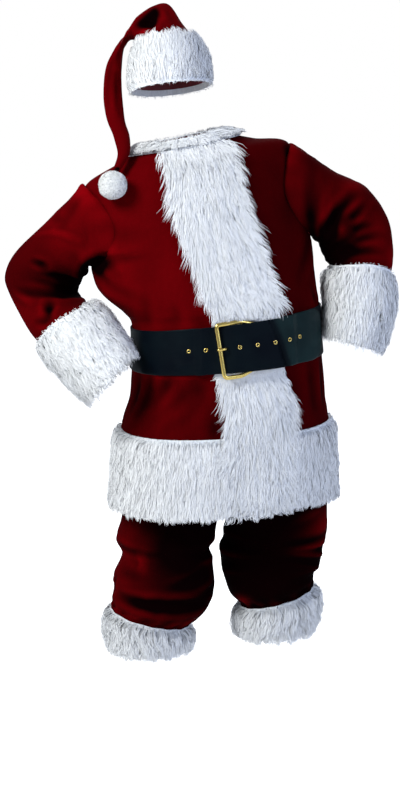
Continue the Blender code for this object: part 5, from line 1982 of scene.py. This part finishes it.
def add_lights(scene, power):
    for name, place, size, share, shade in LIGHTS:
        light = bpy.data.lights.new(name, "AREA")
        light.size, light.energy, light.color = size, power * share, shade
        lamp = bpy.data.objects.new(name, light)
        lamp.location = place
        lamp.rotation_euler = (Vector(LIT_AT) - Vector(place)).to_track_quat("-Z", "Y").to_euler()
        scene.collection.objects.link(lamp)


def add_world(scene):
    """White where the camera sees it, and a softer, bluer light on the suit."""
    world = bpy.data.worlds.new("studio")
    world.use_nodes = True
    nodes, links = world.node_tree.nodes, world.node_tree.links
    seen, lit = nodes["Background"], nodes.new("ShaderNodeBackground")
    for background, shade, strength in ((seen, (1, 1, 1), 1.0), (lit, ROOM_LIGHT, ROOM_STRENGTH)):
        background.inputs["Color"].default_value = (*shade, 1)
        background.inputs["Strength"].default_value = strength
    mix, path = nodes.new("ShaderNodeMixShader"), nodes.new("ShaderNodeLightPath")
    links.new(path.outputs["Is Camera Ray"], mix.inputs[0])
    links.new(lit.outputs[0], mix.inputs[1])
    links.new(seen.outputs[0], mix.inputs[2])
    links.new(mix.outputs[0], nodes["World Output"].inputs["Surface"])
    scene.world = world
    scene.view_settings.view_transform = "Standard"


def add_camera(scene):
    camera = bpy.data.cameras.new("camera")
    camera.sensor_fit = "VERTICAL"
    camera.angle_y = math.radians(EYE_ANGLE)
    eye = bpy.data.objects.new("camera", camera)
    eye.location = EYE
    eye.rotation_euler = (math.radians(EYE_TILT), 0, 0)
    scene.collection.objects.link(eye)
    scene.camera = eye


class SUIT_OT_stage(bpy.types.Operator):
    """Adds the floor, the soft lights and the camera"""

    bl_idname = "suit.stage"
    bl_label = "Stage"
    bl_options = {"REGISTER", "UNDO"}

    def execute(self, context):
        scene = context.scene
        add_floor(scene.suit_stage)
        add_lights(scene, scene.suit_stage.key)
        add_world(scene)
        add_camera(scene)
        return {"FINISHED"}


# ---------------------------------------------------------------- add-on

OPERATORS = (
    SUIT_OT_jacket, SUIT_OT_sleeves, SUIT_OT_trousers, SUIT_OT_cap, SUIT_OT_jacket_fur, SUIT_OT_cuffs,
    SUIT_OT_cap_fur, SUIT_OT_pompom, SUIT_OT_belt, SUIT_OT_buckle, SUIT_OT_stage,
)
SETTINGS = {
    "suit_cloth": ClothSettings,
    "suit_fur": FurSettings,
    "suit_belt": BeltSettings,
    "suit_stage": StageSettings,
}


class SUIT_PT_panel(bpy.types.Panel):
    """The suit's pieces and settings"""

    bl_label = "Holiday suit"
    bl_space_type = "VIEW_3D"
    bl_region_type = "UI"
    bl_category = "Suit"

    def draw(self, context):
        for key, group in SETTINGS.items():
            box = self.layout.box()
            for name in group.__annotations__:
                box.prop(getattr(context.scene, key), name)
        for operator in OPERATORS:
            self.layout.operator(operator.bl_idname)


def register():
    for cls in (*SETTINGS.values(), *OPERATORS, SUIT_PT_panel):
        bpy.utils.register_class(cls)
    for key, group in SETTINGS.items():
        setattr(bpy.types.Scene, key, PointerProperty(type=group))


def unregister():
    for key in SETTINGS:
        delattr(bpy.types.Scene, key)
    for cls in reversed((*SETTINGS.values(), *OPERATORS, SUIT_PT_panel)):
        bpy.utils.unregister_class(cls)


def main():
    register()
    for operator in OPERATORS:
        group, name = operator.bl_idname.split(".")
        getattr(getattr(bpy.ops, group), name)()


if __name__ == "__main__":
    main()
